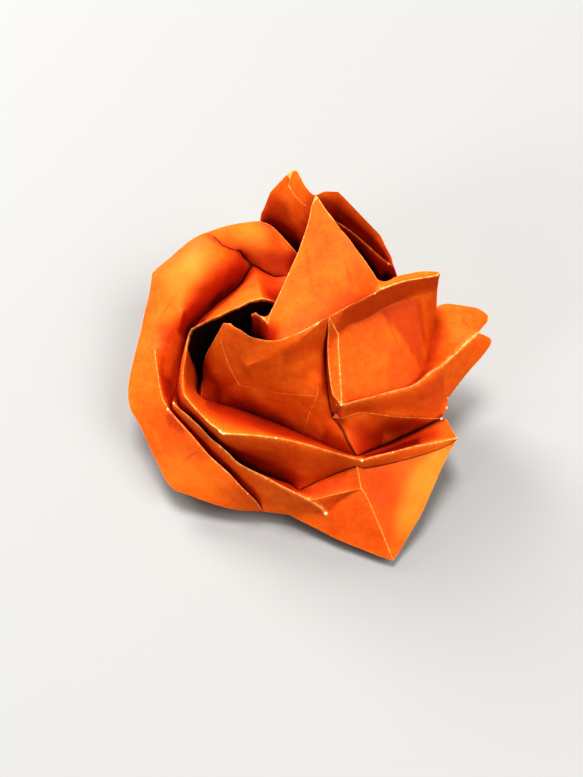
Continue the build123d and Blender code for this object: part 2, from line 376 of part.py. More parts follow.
# facets of the petals, as numbers of fold points in the order of LINES
PETAL_FACETS = [
    (0, 90, 221), (0, 221, 1), (1, 221, 222), (1, 222, 2), (2, 222, 223), (2, 223, 224), (2, 224, 3), (3, 213, 4),
    (3, 224, 213), (4, 192, 417), (4, 213, 192), (4, 417, 440), (4, 440, 5), (5, 440, 6), (6, 440, 441), (6, 441, 7),
    (7, 441, 8), (8, 441, 442), (8, 442, 9), (9, 442, 443), (9, 443, 10), (10, 443, 444), (10, 444, 11),
    (11, 444, 12), (12, 444, 445), (12, 445, 446), (12, 446, 13), (13, 446, 14), (14, 425, 439), (14, 439, 15),
    (14, 446, 425), (15, 439, 16), (16, 183, 17), (16, 186, 183), (16, 439, 186), (17, 183, 184), (17, 184, 18),
    (18, 184, 185), (18, 185, 19), (19, 185, 20), (20, 184, 386), (20, 185, 184), (20, 386, 21), (21, 23, 22),
    (21, 386, 405), (21, 405, 23), (23, 405, 24), (24, 29, 25), (24, 396, 29), (24, 405, 396), (25, 28, 26),
    (25, 29, 28), (26, 28, 27), (29, 32, 30), (29, 33, 32), (29, 396, 33), (30, 32, 31), (33, 396, 34),
    (34, 395, 35), (34, 396, 395), (35, 393, 36), (35, 394, 393), (35, 395, 394), (36, 392, 37), (36, 393, 392),
    (37, 391, 38), (37, 392, 391), (38, 40, 39), (38, 142, 40), (38, 391, 416), (38, 416, 142), (40, 127, 41),
    (40, 142, 127), (41, 127, 346), (41, 346, 42), (42, 345, 43), (42, 346, 345), (43, 344, 44), (43, 345, 344),
    (44, 344, 45), (45, 343, 348), (45, 344, 343), (45, 348, 349), (45, 349, 46), (46, 349, 350), (46, 350, 47),
    (47, 350, 351), (47, 351, 48), (48, 351, 49), (49, 350, 50), (49, 351, 350), (50, 349, 51), (50, 350, 349),
    (51, 313, 52), (51, 335, 313), (51, 336, 335), (51, 348, 336), (51, 349, 348), (52, 313, 334), (52, 334, 53),
    (53, 333, 54), (53, 334, 333), (54, 309, 55), (54, 310, 309), (54, 333, 310), (55, 307, 56), (55, 308, 307),
    (55, 309, 308), (56, 307, 323), (56, 323, 332), (56, 332, 57), (57, 330, 58), (57, 331, 330), (57, 332, 331),
    (58, 329, 59), (58, 330, 329), (59, 328, 60), (59, 329, 328), (60, 327, 61), (60, 328, 327), (61, 326, 62),
    (61, 327, 326), (62, 326, 63), (63, 325, 64), (63, 326, 325), (64, 324, 65), (64, 325, 324), (65, 274, 66),
    (65, 324, 274), (66, 272, 67), (66, 273, 272), (66, 274, 273), (67, 271, 68), (67, 272, 271), (68, 271, 69),
    (69, 270, 70), (69, 271, 270), (70, 269, 71), (70, 270, 269), (71, 269, 279), (71, 279, 72), (72, 279, 73),
    (73, 278, 74), (73, 279, 278), (74, 277, 75), (74, 278, 277), (75, 277, 76), (76, 276, 77), (76, 277, 276),
    (77, 276, 78), (78, 275, 79), (78, 276, 275), (79, 275, 80), (80, 275, 81), (81, 249, 82), (81, 275, 249),
    (82, 249, 254), (82, 254, 83), (83, 254, 255), (83, 255, 84), (84, 255, 256), (84, 256, 85), (85, 214, 86),
    (85, 217, 214), (85, 225, 217), (85, 256, 257), (85, 257, 225), (86, 214, 87), (87, 214, 88), (88, 214, 89),
    (89, 214, 222), (89, 221, 90), (89, 222, 221), (91, 92, 152), (91, 93, 92), (91, 152, 200), (91, 198, 207),
    (91, 199, 198), (91, 200, 199), (91, 207, 248), (91, 248, 93), (92, 93, 152), (93, 94, 152), (93, 248, 94),
    (94, 95, 151), (94, 151, 152), (94, 248, 95), (95, 96, 150), (95, 150, 151), (95, 238, 239), (95, 239, 96),
    (95, 248, 238), (96, 97, 149), (96, 149, 150), (96, 239, 97), (97, 98, 149), (97, 239, 240), (97, 240, 241),
    (97, 241, 98), (98, 99, 148), (98, 148, 149), (98, 241, 99), (99, 100, 147), (99, 147, 148), (99, 241, 242),
    (99, 242, 100), (100, 101, 146), (100, 146, 147), (100, 242, 243), (100, 243, 101), (101, 102, 145),
    (101, 145, 146), (101, 243, 244), (101, 244, 102), (102, 103, 145), (102, 244, 103), (103, 104, 144),
    (103, 144, 145), (103, 244, 245), (103, 245, 104), (104, 105, 143), (104, 143, 144), (104, 245, 246),
    (104, 246, 105), (105, 106, 128), (105, 128, 143), (105, 246, 106), (106, 107, 128), (106, 246, 284),
    (106, 284, 107), (107, 108, 128), (107, 284, 285), (107, 285, 108), (108, 109, 129), (108, 129, 128),
    (108, 285, 286), (108, 286, 109), (109, 110, 129), (109, 286, 110), (110, 111, 130), (110, 130, 129),
    (110, 286, 287), (110, 287, 111), (111, 112, 130), (111, 287, 288), (111, 288, 112), (112, 113, 114),
    (112, 114, 131), (112, 131, 130), (112, 288, 289), (112, 289, 113), (113, 289, 290), (113, 290, 114),
    (114, 115, 132), (114, 132, 131), (114, 290, 291), (114, 291, 292), (114, 292, 115), (115, 116, 133),
    (115, 133, 132), (115, 292, 293), (115, 293, 116), (116, 117, 134), (116, 134, 133), (116, 293, 117),
    (117, 118, 134), (117, 293, 294), (117, 294, 118), (118, 119, 135), (118, 135, 134), (118, 294, 338),
    (118, 338, 119), (119, 120, 136), (119, 136, 135), (119, 338, 339), (119, 339, 120), (120, 121, 137),
    (120, 137, 136), (120, 339, 340), (120, 340, 121), (121, 122, 137), (121, 340, 341), (121, 341, 122),
    (122, 123, 137), (122, 341, 342), (122, 342, 123), (123, 124, 138), (123, 138, 137), (123, 342, 343),
    (123, 343, 124), (124, 125, 139), (124, 139, 138), (124, 343, 344), (124, 344, 125), (125, 126, 141),
    (125, 140, 139), (125, 141, 140), (125, 344, 345), (125, 345, 126), (126, 127, 142), (126, 142, 141),
    (126, 345, 346), (126, 346, 127), (128, 129, 162), (128, 162, 143), (129, 130, 448), (129, 159, 160),
    (129, 160, 162), (129, 447, 159), (129, 448, 447), (130, 131, 450), (130, 449, 448), (130, 450, 449),
    (131, 132, 451), (131, 451, 450), (132, 133, 452), (132, 452, 451), (133, 134, 453), (133, 453, 452),
    (134, 135, 457), (134, 456, 453), (134, 457, 456), (135, 136, 368), (135, 366, 456), (135, 367, 366),
    (135, 368, 367), (135, 456, 457), (136, 137, 360), (136, 359, 368), (136, 360, 359), (137, 138, 360),
    (138, 139, 413), (138, 359, 360), (138, 412, 359), (138, 413, 412), (139, 140, 414), (139, 414, 413),
    (140, 141, 415), (140, 415, 414), (141, 142, 416), (141, 416, 415), (143, 162, 144), (144, 161, 145),
    (144, 162, 161), (145, 161, 146), (146, 160, 147), (146, 161, 160), (147, 159, 148), (147, 160, 159),
    (148, 157, 149), (148, 158, 157), (148, 159, 158), (149, 153, 204), (149, 157, 163), (149, 163, 153),
    (149, 204, 150), (150, 204, 205), (150, 205, 151), (151, 205, 206), (151, 206, 152), (152, 201, 200),
    (152, 202, 201), (152, 206, 202), (153, 154, 203), (153, 163, 164), (153, 164, 165), (153, 165, 154),
    (153, 203, 206), (153, 206, 204), (154, 155, 203), (154, 165, 166), (154, 166, 167), (154, 167, 155),
    (155, 156, 203), (155, 167, 168), (155, 168, 156), (156, 168, 169), (156, 169, 170), (156, 170, 187),
    (156, 187, 203), (157, 158, 447), (157, 447, 163), (158, 159, 447), (160, 161, 162), (163, 447, 164),
    (164, 447, 448), (164, 448, 165), (165, 448, 449), (165, 449, 166), (166, 449, 458), (166, 458, 167),
    (167, 458, 459), (167, 459, 460), (167, 460, 168), (168, 460, 169), (169, 460, 461), (169, 461, 170),
    (170, 171, 187), (170, 461, 462), (170, 462, 171), (171, 172, 187), (171, 462, 172), (172, 173, 187),
    (172, 462, 463), (172, 463, 173), (173, 174, 188), (173, 188, 187), (173, 361, 174), (173, 362, 361),
    (173, 463, 362), (174, 175, 188), (174, 352, 369), (174, 361, 352), (174, 369, 375), (174, 375, 175),
    (175, 176, 189), (175, 189, 188), (175, 375, 380), (175, 380, 176), (176, 177, 190), (176, 190, 189),
    (176, 380, 381), (176, 381, 177), (177, 178, 190), (177, 381, 382), (177, 382, 178), (178, 179, 191),
    (178, 191, 190), (178, 382, 179), (179, 180, 191), (179, 382, 383), (179, 383, 180), (180, 181, 186),
    (180, 186, 432), (180, 383, 384), (180, 384, 181), (180, 432, 191), (181, 182, 186), (181, 384, 385),
    (181, 385, 182), (182, 183, 186), (182, 385, 183), (183, 385, 386), (183, 386, 184), (186, 431, 432),
    (186, 439, 431), (187, 188, 201), (187, 201, 202), (187, 202, 203), (188, 189, 199), (188, 199, 200),
    (188, 200, 201), (189, 190, 429), (189, 197, 198), (189, 198, 199), (189, 429, 197), (190, 191, 431),
    (190, 430, 429), (190, 431, 430), (191, 432, 431), (192, 193, 417), (192, 212, 193), (192, 213, 212),
    (193, 194, 418), (193, 210, 194), (193, 211, 210), (193, 212, 211), (193, 418, 417), (194, 195, 426),
    (194, 209, 195), (194, 210, 209), (194, 426, 418), (195, 196, 427), (195, 208, 196), (195, 209, 208),
    (195, 427, 426), (196, 197, 428), (196, 207, 197), (196, 208, 207), (196, 428, 427), (197, 207, 198),
    (197, 429, 428), (202, 206, 203), (204, 206, 205), (207, 208, 248), (208, 209, 234), (208, 233, 248),
    (208, 234, 233), (209, 210, 229), (209, 229, 234), (210, 211, 220), (210, 220, 229), (211, 212, 216),
    (211, 216, 220), (212, 213, 216), (213, 224, 216), (214, 215, 222), (214, 217, 215), (215, 216, 224),
    (215, 217, 218), (215, 218, 216), (215, 223, 222), (215, 224, 223), (216, 218, 219), (216, 219, 220),
    (217, 225, 226), (217, 226, 218), (218, 226, 227), (218, 227, 219), (219, 227, 228), (219, 228, 229),
    (219, 229, 220), (225, 257, 226), (226, 257, 258), (226, 258, 227), (227, 258, 259), (227, 259, 228),
    (228, 233, 229), (228, 259, 233), (229, 233, 234), (230, 231, 258), (230, 235, 247), (230, 247, 231),
    (230, 253, 235), (230, 257, 253), (230, 258, 257), (231, 232, 258), (231, 247, 232), (232, 233, 259),
    (232, 247, 233), (232, 259, 258), (233, 247, 248), (235, 236, 247), (235, 253, 260), (235, 260, 236),
    (236, 237, 248), (236, 248, 247), (236, 260, 261), (236, 261, 237), (237, 238, 248), (237, 261, 238),
    (238, 261, 262), (238, 262, 239), (239, 262, 263), (239, 263, 264), (239, 264, 240), (240, 264, 265),
    (240, 265, 241), (241, 265, 266), (241, 266, 242), (242, 266, 280), (242, 280, 243), (243, 280, 281),
    (243, 281, 244), (244, 281, 282), (244, 282, 245), (245, 282, 283), (245, 283, 246), (246, 272, 273),
    (246, 273, 314), (246, 283, 272), (246, 296, 284), (246, 314, 296), (249, 250, 254), (249, 275, 250),
    (250, 251, 254), (250, 260, 251), (250, 261, 260), (250, 275, 261), (251, 252, 255), (251, 255, 254),
    (251, 260, 252), (252, 253, 256), (252, 256, 255), (252, 260, 253), (253, 257, 256), (261, 275, 262),
    (262, 275, 276), (262, 276, 263), (263, 276, 277), (263, 277, 264), (264, 277, 278), (264, 278, 265),
    (265, 278, 266), (266, 267, 280), (266, 278, 267), (267, 268, 280), (267, 278, 279), (267, 279, 268),
    (268, 269, 281), (268, 279, 269), (268, 281, 280), (269, 270, 282), (269, 282, 281), (270, 271, 282),
    (271, 272, 283), (271, 283, 282), (273, 274, 314), (274, 315, 314), (274, 324, 315), (284, 296, 297),
    (284, 297, 298), (284, 298, 285), (285, 298, 299), (285, 299, 286), (286, 299, 287), (287, 299, 300),
    (287, 300, 288), (288, 300, 301), (288, 301, 289), (289, 301, 302), (289, 302, 290), (290, 302, 303),
    (290, 303, 291), (291, 303, 304), (291, 304, 292), (292, 304, 305), (292, 305, 306), (292, 306, 293),
    (293, 306, 307), (293, 307, 294), (294, 295, 338), (294, 307, 308), (294, 308, 309), (294, 309, 295),
    (295, 309, 310), (295, 310, 311), (295, 311, 338), (296, 314, 297), (297, 314, 315), (297, 315, 298),
    (298, 315, 299), (299, 315, 316), (299, 316, 300), (300, 316, 317), (300, 317, 301), (301, 317, 318),
    (301, 318, 302), (302, 318, 319), (302, 319, 303), (303, 319, 320), (303, 320, 304), (304, 320, 321),
    (304, 321, 305), (305, 321, 322), (305, 322, 306), (306, 322, 323), (306, 323, 307), (310, 333, 311),
    (311, 312, 336), (311, 333, 334), (311, 334, 312), (311, 336, 337), (311, 337, 339), (311, 339, 338),
    (312, 313, 335), (312, 334, 313), (312, 335, 336), (315, 324, 316), (316, 324, 325), (316, 325, 317),
    (317, 325, 326), (317, 326, 318), (318, 326, 327), (318, 327, 319), (319, 327, 328), (319, 328, 320),
    (320, 328, 329), (320, 329, 321), (321, 329, 330), (321, 330, 322), (322, 330, 331), (322, 331, 323),
    (323, 331, 332), (336, 347, 337), (336, 348, 347), (337, 340, 339), (337, 341, 340), (337, 342, 341),
    (337, 347, 342), (342, 347, 343), (343, 347, 348), (352, 353, 369), (352, 361, 353), (353, 354, 370),
    (353, 361, 362), (353, 362, 354), (353, 370, 369), (354, 355, 371), (354, 362, 363), (354, 363, 355),
    (354, 371, 370), (355, 356, 372), (355, 363, 364), (355, 364, 365), (355, 365, 356), (355, 372, 371),
    (356, 357, 373), (356, 365, 366), (356, 366, 357), (356, 373, 372), (357, 358, 411), (357, 366, 367),
    (357, 367, 358), (357, 374, 373), (357, 411, 374), (358, 359, 412), (358, 367, 368), (358, 368, 359),
    (358, 412, 411), (362, 463, 363), (363, 455, 364), (363, 462, 455), (363, 463, 462), (364, 454, 365),
    (364, 455, 454), (365, 454, 456), (365, 456, 366), (369, 370, 376), (369, 376, 375), (370, 371, 377),
    (370, 377, 376), (371, 372, 377), (372, 373, 378), (372, 378, 377), (373, 374, 379), (373, 379, 378),
    (374, 387, 397), (374, 397, 379), (374, 411, 387), (375, 376, 380), (376, 377, 381), (376, 381, 380),
    (377, 378, 398), (377, 398, 399), (377, 399, 381), (378, 379, 397), (378, 397, 398), (381, 399, 382),
    (382, 399, 400), (382, 400, 383), (383, 400, 409), (383, 409, 384), (384, 408, 385), (384, 409, 408),
    (385, 406, 386), (385, 407, 406), (385, 408, 407), (386, 406, 407), (386, 407, 405), (387, 388, 397),
    (387, 411, 412), (387, 412, 388), (388, 389, 398), (388, 398, 397), (388, 412, 413), (388, 413, 389),
    (389, 390, 400), (389, 399, 398), (389, 400, 399), (389, 413, 414), (389, 414, 415), (389, 415, 390),
    (390, 391, 400), (390, 415, 416), (390, 416, 391), (391, 392, 401), (391, 401, 400), (392, 393, 402),
    (392, 402, 401), (393, 394, 402), (394, 395, 403), (394, 403, 402), (395, 396, 403), (396, 404, 403),
    (396, 405, 404), (400, 401, 409), (401, 402, 410), (401, 410, 409), (402, 403, 409), (402, 409, 410),
    (403, 404, 408), (403, 408, 409), (404, 405, 407), (404, 407, 408), (417, 418, 441), (417, 441, 440),
    (418, 419, 441), (418, 426, 433), (418, 433, 419), (419, 420, 442), (419, 433, 420), (419, 442, 441),
    (420, 421, 442), (420, 433, 434), (420, 434, 421), (421, 422, 443), (421, 434, 435), (421, 435, 422),
    (421, 443, 442), (422, 423, 444), (422, 435, 436), (422, 436, 423), (422, 444, 443), (423, 424, 445),
    (423, 436, 437), (423, 437, 424), (423, 445, 444), (424, 425, 445), (424, 437, 438), (424, 438, 425),
    (425, 438, 439), (425, 446, 445), (426, 427, 434), (426, 434, 433), (427, 428, 435), (427, 435, 434),
    (428, 429, 436), (428, 436, 435), (429, 430, 437), (429, 437, 436), (430, 431, 438), (430, 438, 437),
    (431, 439, 438), (449, 450, 458), (450, 451, 458), (451, 452, 459), (451, 459, 458), (452, 453, 461),
    (452, 460, 459), (452, 461, 460), (453, 454, 455), (453, 455, 462), (453, 456, 454), (453, 462, 461),
]

# facets of the outside, from the petal edges down to the base ring
OUTSIDE_FACETS = [
    (0, 1, 471), (0, 471, 90), (1, 2, 471), (2, 3, 471), (3, 4, 470), (3, 470, 471), (4, 5, 470), (5, 6, 470),
    (6, 7, 470), (7, 8, 469), (7, 469, 470), (8, 9, 469), (9, 10, 469), (10, 11, 468), (10, 468, 469), (11, 12, 468),
    (12, 13, 468), (13, 14, 467), (13, 467, 468), (14, 15, 467), (15, 16, 467), (16, 17, 467), (17, 18, 467),
    (18, 19, 466), (18, 466, 467), (19, 20, 466), (20, 21, 466), (21, 22, 466), (22, 23, 466), (23, 24, 466),
    (24, 25, 465), (24, 465, 466), (25, 26, 465), (26, 27, 465), (27, 28, 465), (28, 29, 465), (29, 30, 465),
    (30, 31, 464), (30, 464, 465), (31, 32, 464), (32, 33, 464), (33, 34, 464), (34, 35, 464), (35, 36, 464),
    (36, 37, 487), (36, 487, 464), (37, 38, 487), (38, 39, 487), (39, 40, 487), (40, 41, 487), (41, 42, 486),
    (41, 486, 487), (42, 43, 486), (43, 44, 485), (43, 485, 486), (44, 45, 485), (45, 46, 485), (46, 47, 484),
    (46, 484, 485), (47, 48, 484), (48, 49, 484), (49, 50, 484), (50, 51, 483), (50, 483, 484), (51, 52, 483),
    (52, 53, 483), (53, 54, 482), (53, 482, 483), (54, 55, 482), (55, 56, 482), (56, 57, 481), (56, 481, 482),
    (57, 58, 481), (58, 59, 481), (59, 60, 481), (60, 61, 480), (60, 480, 481), (61, 62, 480), (62, 63, 480),
    (63, 64, 480), (64, 65, 479), (64, 479, 480), (65, 66, 479), (66, 67, 478), (66, 478, 479), (67, 68, 478),
    (68, 69, 477), (68, 477, 478), (69, 70, 477), (70, 71, 477), (71, 72, 476), (71, 476, 477), (72, 73, 476),
    (73, 74, 475), (73, 475, 476), (74, 75, 475), (75, 76, 475), (76, 77, 474), (76, 474, 475), (77, 78, 474),
    (78, 79, 474), (79, 80, 474), (80, 81, 473), (80, 473, 474), (81, 82, 473), (82, 83, 473), (83, 84, 473),
    (84, 85, 472), (84, 472, 473), (85, 86, 472), (86, 87, 472), (87, 88, 472), (88, 89, 472), (89, 90, 471),
    (89, 471, 472), (464, 487, 499), (464, 499, 465), (465, 488, 466), (465, 499, 488), (466, 488, 467),
    (467, 488, 468), (468, 488, 489), (468, 489, 469), (469, 489, 470), (470, 489, 471), (471, 489, 490),
    (471, 490, 472), (472, 490, 473), (473, 490, 474), (474, 490, 491), (474, 491, 475), (475, 491, 492),
    (475, 492, 476), (476, 492, 477), (477, 492, 493), (477, 493, 478), (478, 493, 479), (479, 493, 494),
    (479, 494, 480), (480, 494, 495), (480, 495, 481), (481, 495, 482), (482, 495, 496), (482, 496, 483),
    (483, 496, 484), (484, 496, 497), (484, 497, 485), (485, 497, 486), (486, 497, 498), (486, 498, 487),
    (487, 498, 499),
]

points = [(x * SCALE, y * SCALE, z * SCALE) for line in LINES for (x, y, z) in line]
flap_first = len(points) - len(FLAP_TIPS)
ring_first = flap_first - len(BASE_RING)
side_steps = len(BASE_RING) // len(FLAP_TIPS)

# each base flap is one flat facet: a side of the base ring and a tip
flaps = []
for k in range(len(FLAP_TIPS)):
    side = [ring_first + (k * side_steps + s) % len(BASE_RING) for s in range(side_steps + 1)]
    flaps.append(tuple(reversed(side)) + (flap_first + k,))

facets = PETAL_FACETS + OUTSIDE_FACETS + flaps


def sub(a, b):
    return (a[0] - b[0], a[1] - b[1], a[2] - b[2])


def cross(a, b):
    return (a[1] * b[2] - a[2] * b[1], a[2] * b[0] - a[0] * b[2], a[0] * b[1] - a[1] * b[0])


def dot(a, b):
    return a[0] * b[0] + a[1] * b[1] + a[2] * b[2]


def unit(a):
    n = math.sqrt(dot(a, a))
    return (a[0] / n, a[1] / n, a[2] / n)


# facet normals, and at each fold point the mitre direction of the paper's two skins
normals = []
for f in facets:
    normals.append(unit(cross(sub(points[f[0]], points[f[-1]]), sub(points[f[-2]], points[f[-1]]))) if len(f) > 3
                   else unit(cross(sub(points[f[1]], points[f[0]]), sub(points[f[2]], points[f[0]]))))
normals = [n if len(f) == 3 else (0.0, 0.0, -1.0) for n, f in zip(normals, facets)]
around = [[] for _ in points]
for f, n in zip(facets, normals):
    for k, i in enumerate(f):
        a = unit(sub(points[f[k - 1]], points[i]))
        b = unit(sub(points[f[(k + 1) % len(f)]], points[i]))
        around[i].append((math.acos(max(-1.0, min(1.0, dot(a, b)))), n))

half = PAPER_T / 2
outer = []
inner = []
for i, p in enumerate(points):
    m = unit(tuple(sum(w * n[c] for w, n in around[i]) for c in range(3)))
    reach = sum(w * dot(m, n) for w, n in around[i]) / sum(w for w, n in around[i])
    off = half / max(reach, MITRE_MIN)
    if i >= ring_first:
        off = half / max(abs(m[2]), MITRE_MIN)
        d = (m[0] * off, m[1] * off, -half)
    else:
        d = (m[0] * off, m[1] * off, m[2] * off)
    outer.append((p[0] + d[0], p[1] + d[1], p[2] + d[2] + half))
    inner.append((p[0] - d[0], p[1] - d[1], p[2] - d[2] + half))

# free edges of the sheet: the sides of the base flaps
directed = {}
for f in facets:
    for k, i in enumerate(f):
        directed[(f[k - 1], i)] = True
free = [e for e in directed if (e[1], e[0]) not in directed]


def facet(corners):
    """One flat facet bounded by straight folds."""
    with BuildLine(mode=Mode.PRIVATE) as edge:
        Polyline(*corners, close=True)
    return Face(edge.wire())


skin = [facet([outer[i] for i in f]) for f in facets]
skin += [facet([inner[i] for i in reversed(f)]) for f in facets]
for a, b in free:
    skin.append(facet([outer[b], outer[a], inner[a]]))
    skin.append(facet([outer[b], inner[a], inner[b]]))

with BuildPart() as folded_sheet:
    add(Solid(Shell(skin)))
folded_sheet.part.label = "folded_sheet"

os.makedirs("parts", exist_ok=True)
export_step(folded_sheet.part, "parts/folded_sheet.step")
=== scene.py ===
import math

import bpy
import bmesh
import numpy as np
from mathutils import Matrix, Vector, noise
from mathutils.geometry import delaunay_2d_cdt
from mathutils.bvhtree import BVHTree
from mathutils.kdtree import KDTree


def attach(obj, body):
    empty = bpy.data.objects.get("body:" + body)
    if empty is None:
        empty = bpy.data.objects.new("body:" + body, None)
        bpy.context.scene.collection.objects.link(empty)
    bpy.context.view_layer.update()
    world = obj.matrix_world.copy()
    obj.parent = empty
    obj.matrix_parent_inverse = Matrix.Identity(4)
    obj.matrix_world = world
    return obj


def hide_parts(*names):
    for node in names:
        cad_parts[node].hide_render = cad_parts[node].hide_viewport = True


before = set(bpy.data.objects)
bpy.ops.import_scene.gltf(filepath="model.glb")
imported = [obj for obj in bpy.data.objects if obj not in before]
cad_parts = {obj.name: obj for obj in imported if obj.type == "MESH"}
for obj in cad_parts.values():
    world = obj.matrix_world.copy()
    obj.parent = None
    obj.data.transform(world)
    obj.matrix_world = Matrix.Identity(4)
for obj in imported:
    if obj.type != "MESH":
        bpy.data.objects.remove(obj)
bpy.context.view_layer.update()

# ---------------------------------------------------------------------------------------------
# fold lines of the sheet in millimetres, in the part's frame: name: (kind, wear, points)
# kind m: mountain fold, v: valley fold, s: soft bend without a crease.  wear: how white the fold is rubbed and how wide
# the painted highlight along it is
# ---------------------------------------------------------------------------------------------
OUTLINE = [
    (-1.213, 32.460, 27.000), (-0.554, 31.770, 27.300), (0.733, 27.738, 28.300), (1.832, 25.240, 29.300),
    (2.453, 24.454, 30.000), (3.902, 25.172, 30.000), (5.981, 25.069, 30.000), (7.093, 24.007, 29.600),
    (8.675, 22.380, 29.000), (10.269, 20.918, 28.200), (11.710, 19.658, 27.400), (12.676, 18.822, 26.800),
    (13.618, 17.042, 26.000), (14.410, 15.686, 25.300), (14.714, 14.479, 24.800), (16.228, 14.138, 19.500),
    (16.557, 12.768, 24.600), (18.193, 13.302, 24.400), (19.827, 13.681, 24.200), (22.163, 13.688, 24.000),
    (21.972, 12.628, 20.800), (22.285, 11.836, 16.500), (23.047, 12.567, 16.300), (24.173, 12.662, 16.600),
    (27.028, 11.894, 17.000), (28.966, 11.499, 17.000), (30.235, 10.648, 16.800), (30.867, 9.866, 16.500),
    (29.931, 9.022, 15.700), (28.964, 8.012, 15.000), (30.389, 7.941, 14.200), (31.674, 7.699, 13.200),
    (30.876, 6.641, 12.400), (29.748, 5.447, 11.500), (28.091, 3.864, 10.600), (26.046, 1.514, 9.700),
    (24.190, -0.767, 8.700), (24.054, -2.243, 8.300), (23.088, -4.031, 7.800), (23.896, -4.218, 7.800),
    (24.626, -6.758, 8.400), (25.262, -8.299, 8.900), (24.102, -9.932, 8.200), (22.429, -12.926, 7.000),
    (20.760, -16.338, 5.600), (19.098, -19.598, 4.300), (17.468, -22.062, 3.200), (15.844, -24.518, 2.100),
    (14.701, -26.146, 1.500), (12.650, -25.508, 1.600), (9.489, -24.227, 1.800), (6.312, -22.938, 2.000),
    (3.120, -21.339, 2.300), (-0.092, -19.772, 2.700), (-1.704, -18.942, 3.000), (-3.805, -18.557, 2.800),
    (-6.236, -18.197, 2.700), (-9.791, -18.109, 2.900), (-12.207, -17.759, 3.300), (-13.819, -17.365, 3.600),
    (-16.242, -16.664, 4.000), (-17.859, -16.094, 4.300), (-20.272, -15.439, 4.800), (-21.591, -14.073, 5.300),
    (-22.791, -11.853, 5.900), (-24.526, -8.493, 6.800), (-26.292, -4.908, 7.700), (-27.695, -2.752, 8.200),
    (-28.285, -0.711, 8.600), (-28.314, 2.691, 9.000), (-27.747, 5.647, 9.900), (-27.195, 8.556, 10.600),
    (-26.628, 11.160, 11.200), (-26.092, 14.671, 12.000), (-25.547, 17.473, 12.400), (-25.258, 21.780, 12.800),
    (-24.043, 22.611, 13.400), (-22.298, 23.643, 14.300), (-20.542, 24.732, 15.400), (-18.784, 25.600, 16.500),
    (-16.998, 25.878, 17.800), (-15.754, 25.789, 18.600), (-13.771, 26.902, 18.400), (-11.731, 27.308, 18.700),
    (-9.324, 27.211, 19.500), (-6.932, 26.897, 20.300), (-7.038, 27.670, 16.200), (-6.443, 28.443, 20.500),
    (-5.925, 29.001, 21.400), (-4.883, 30.074, 24.000), (-2.541, 31.601, 26.000),
]
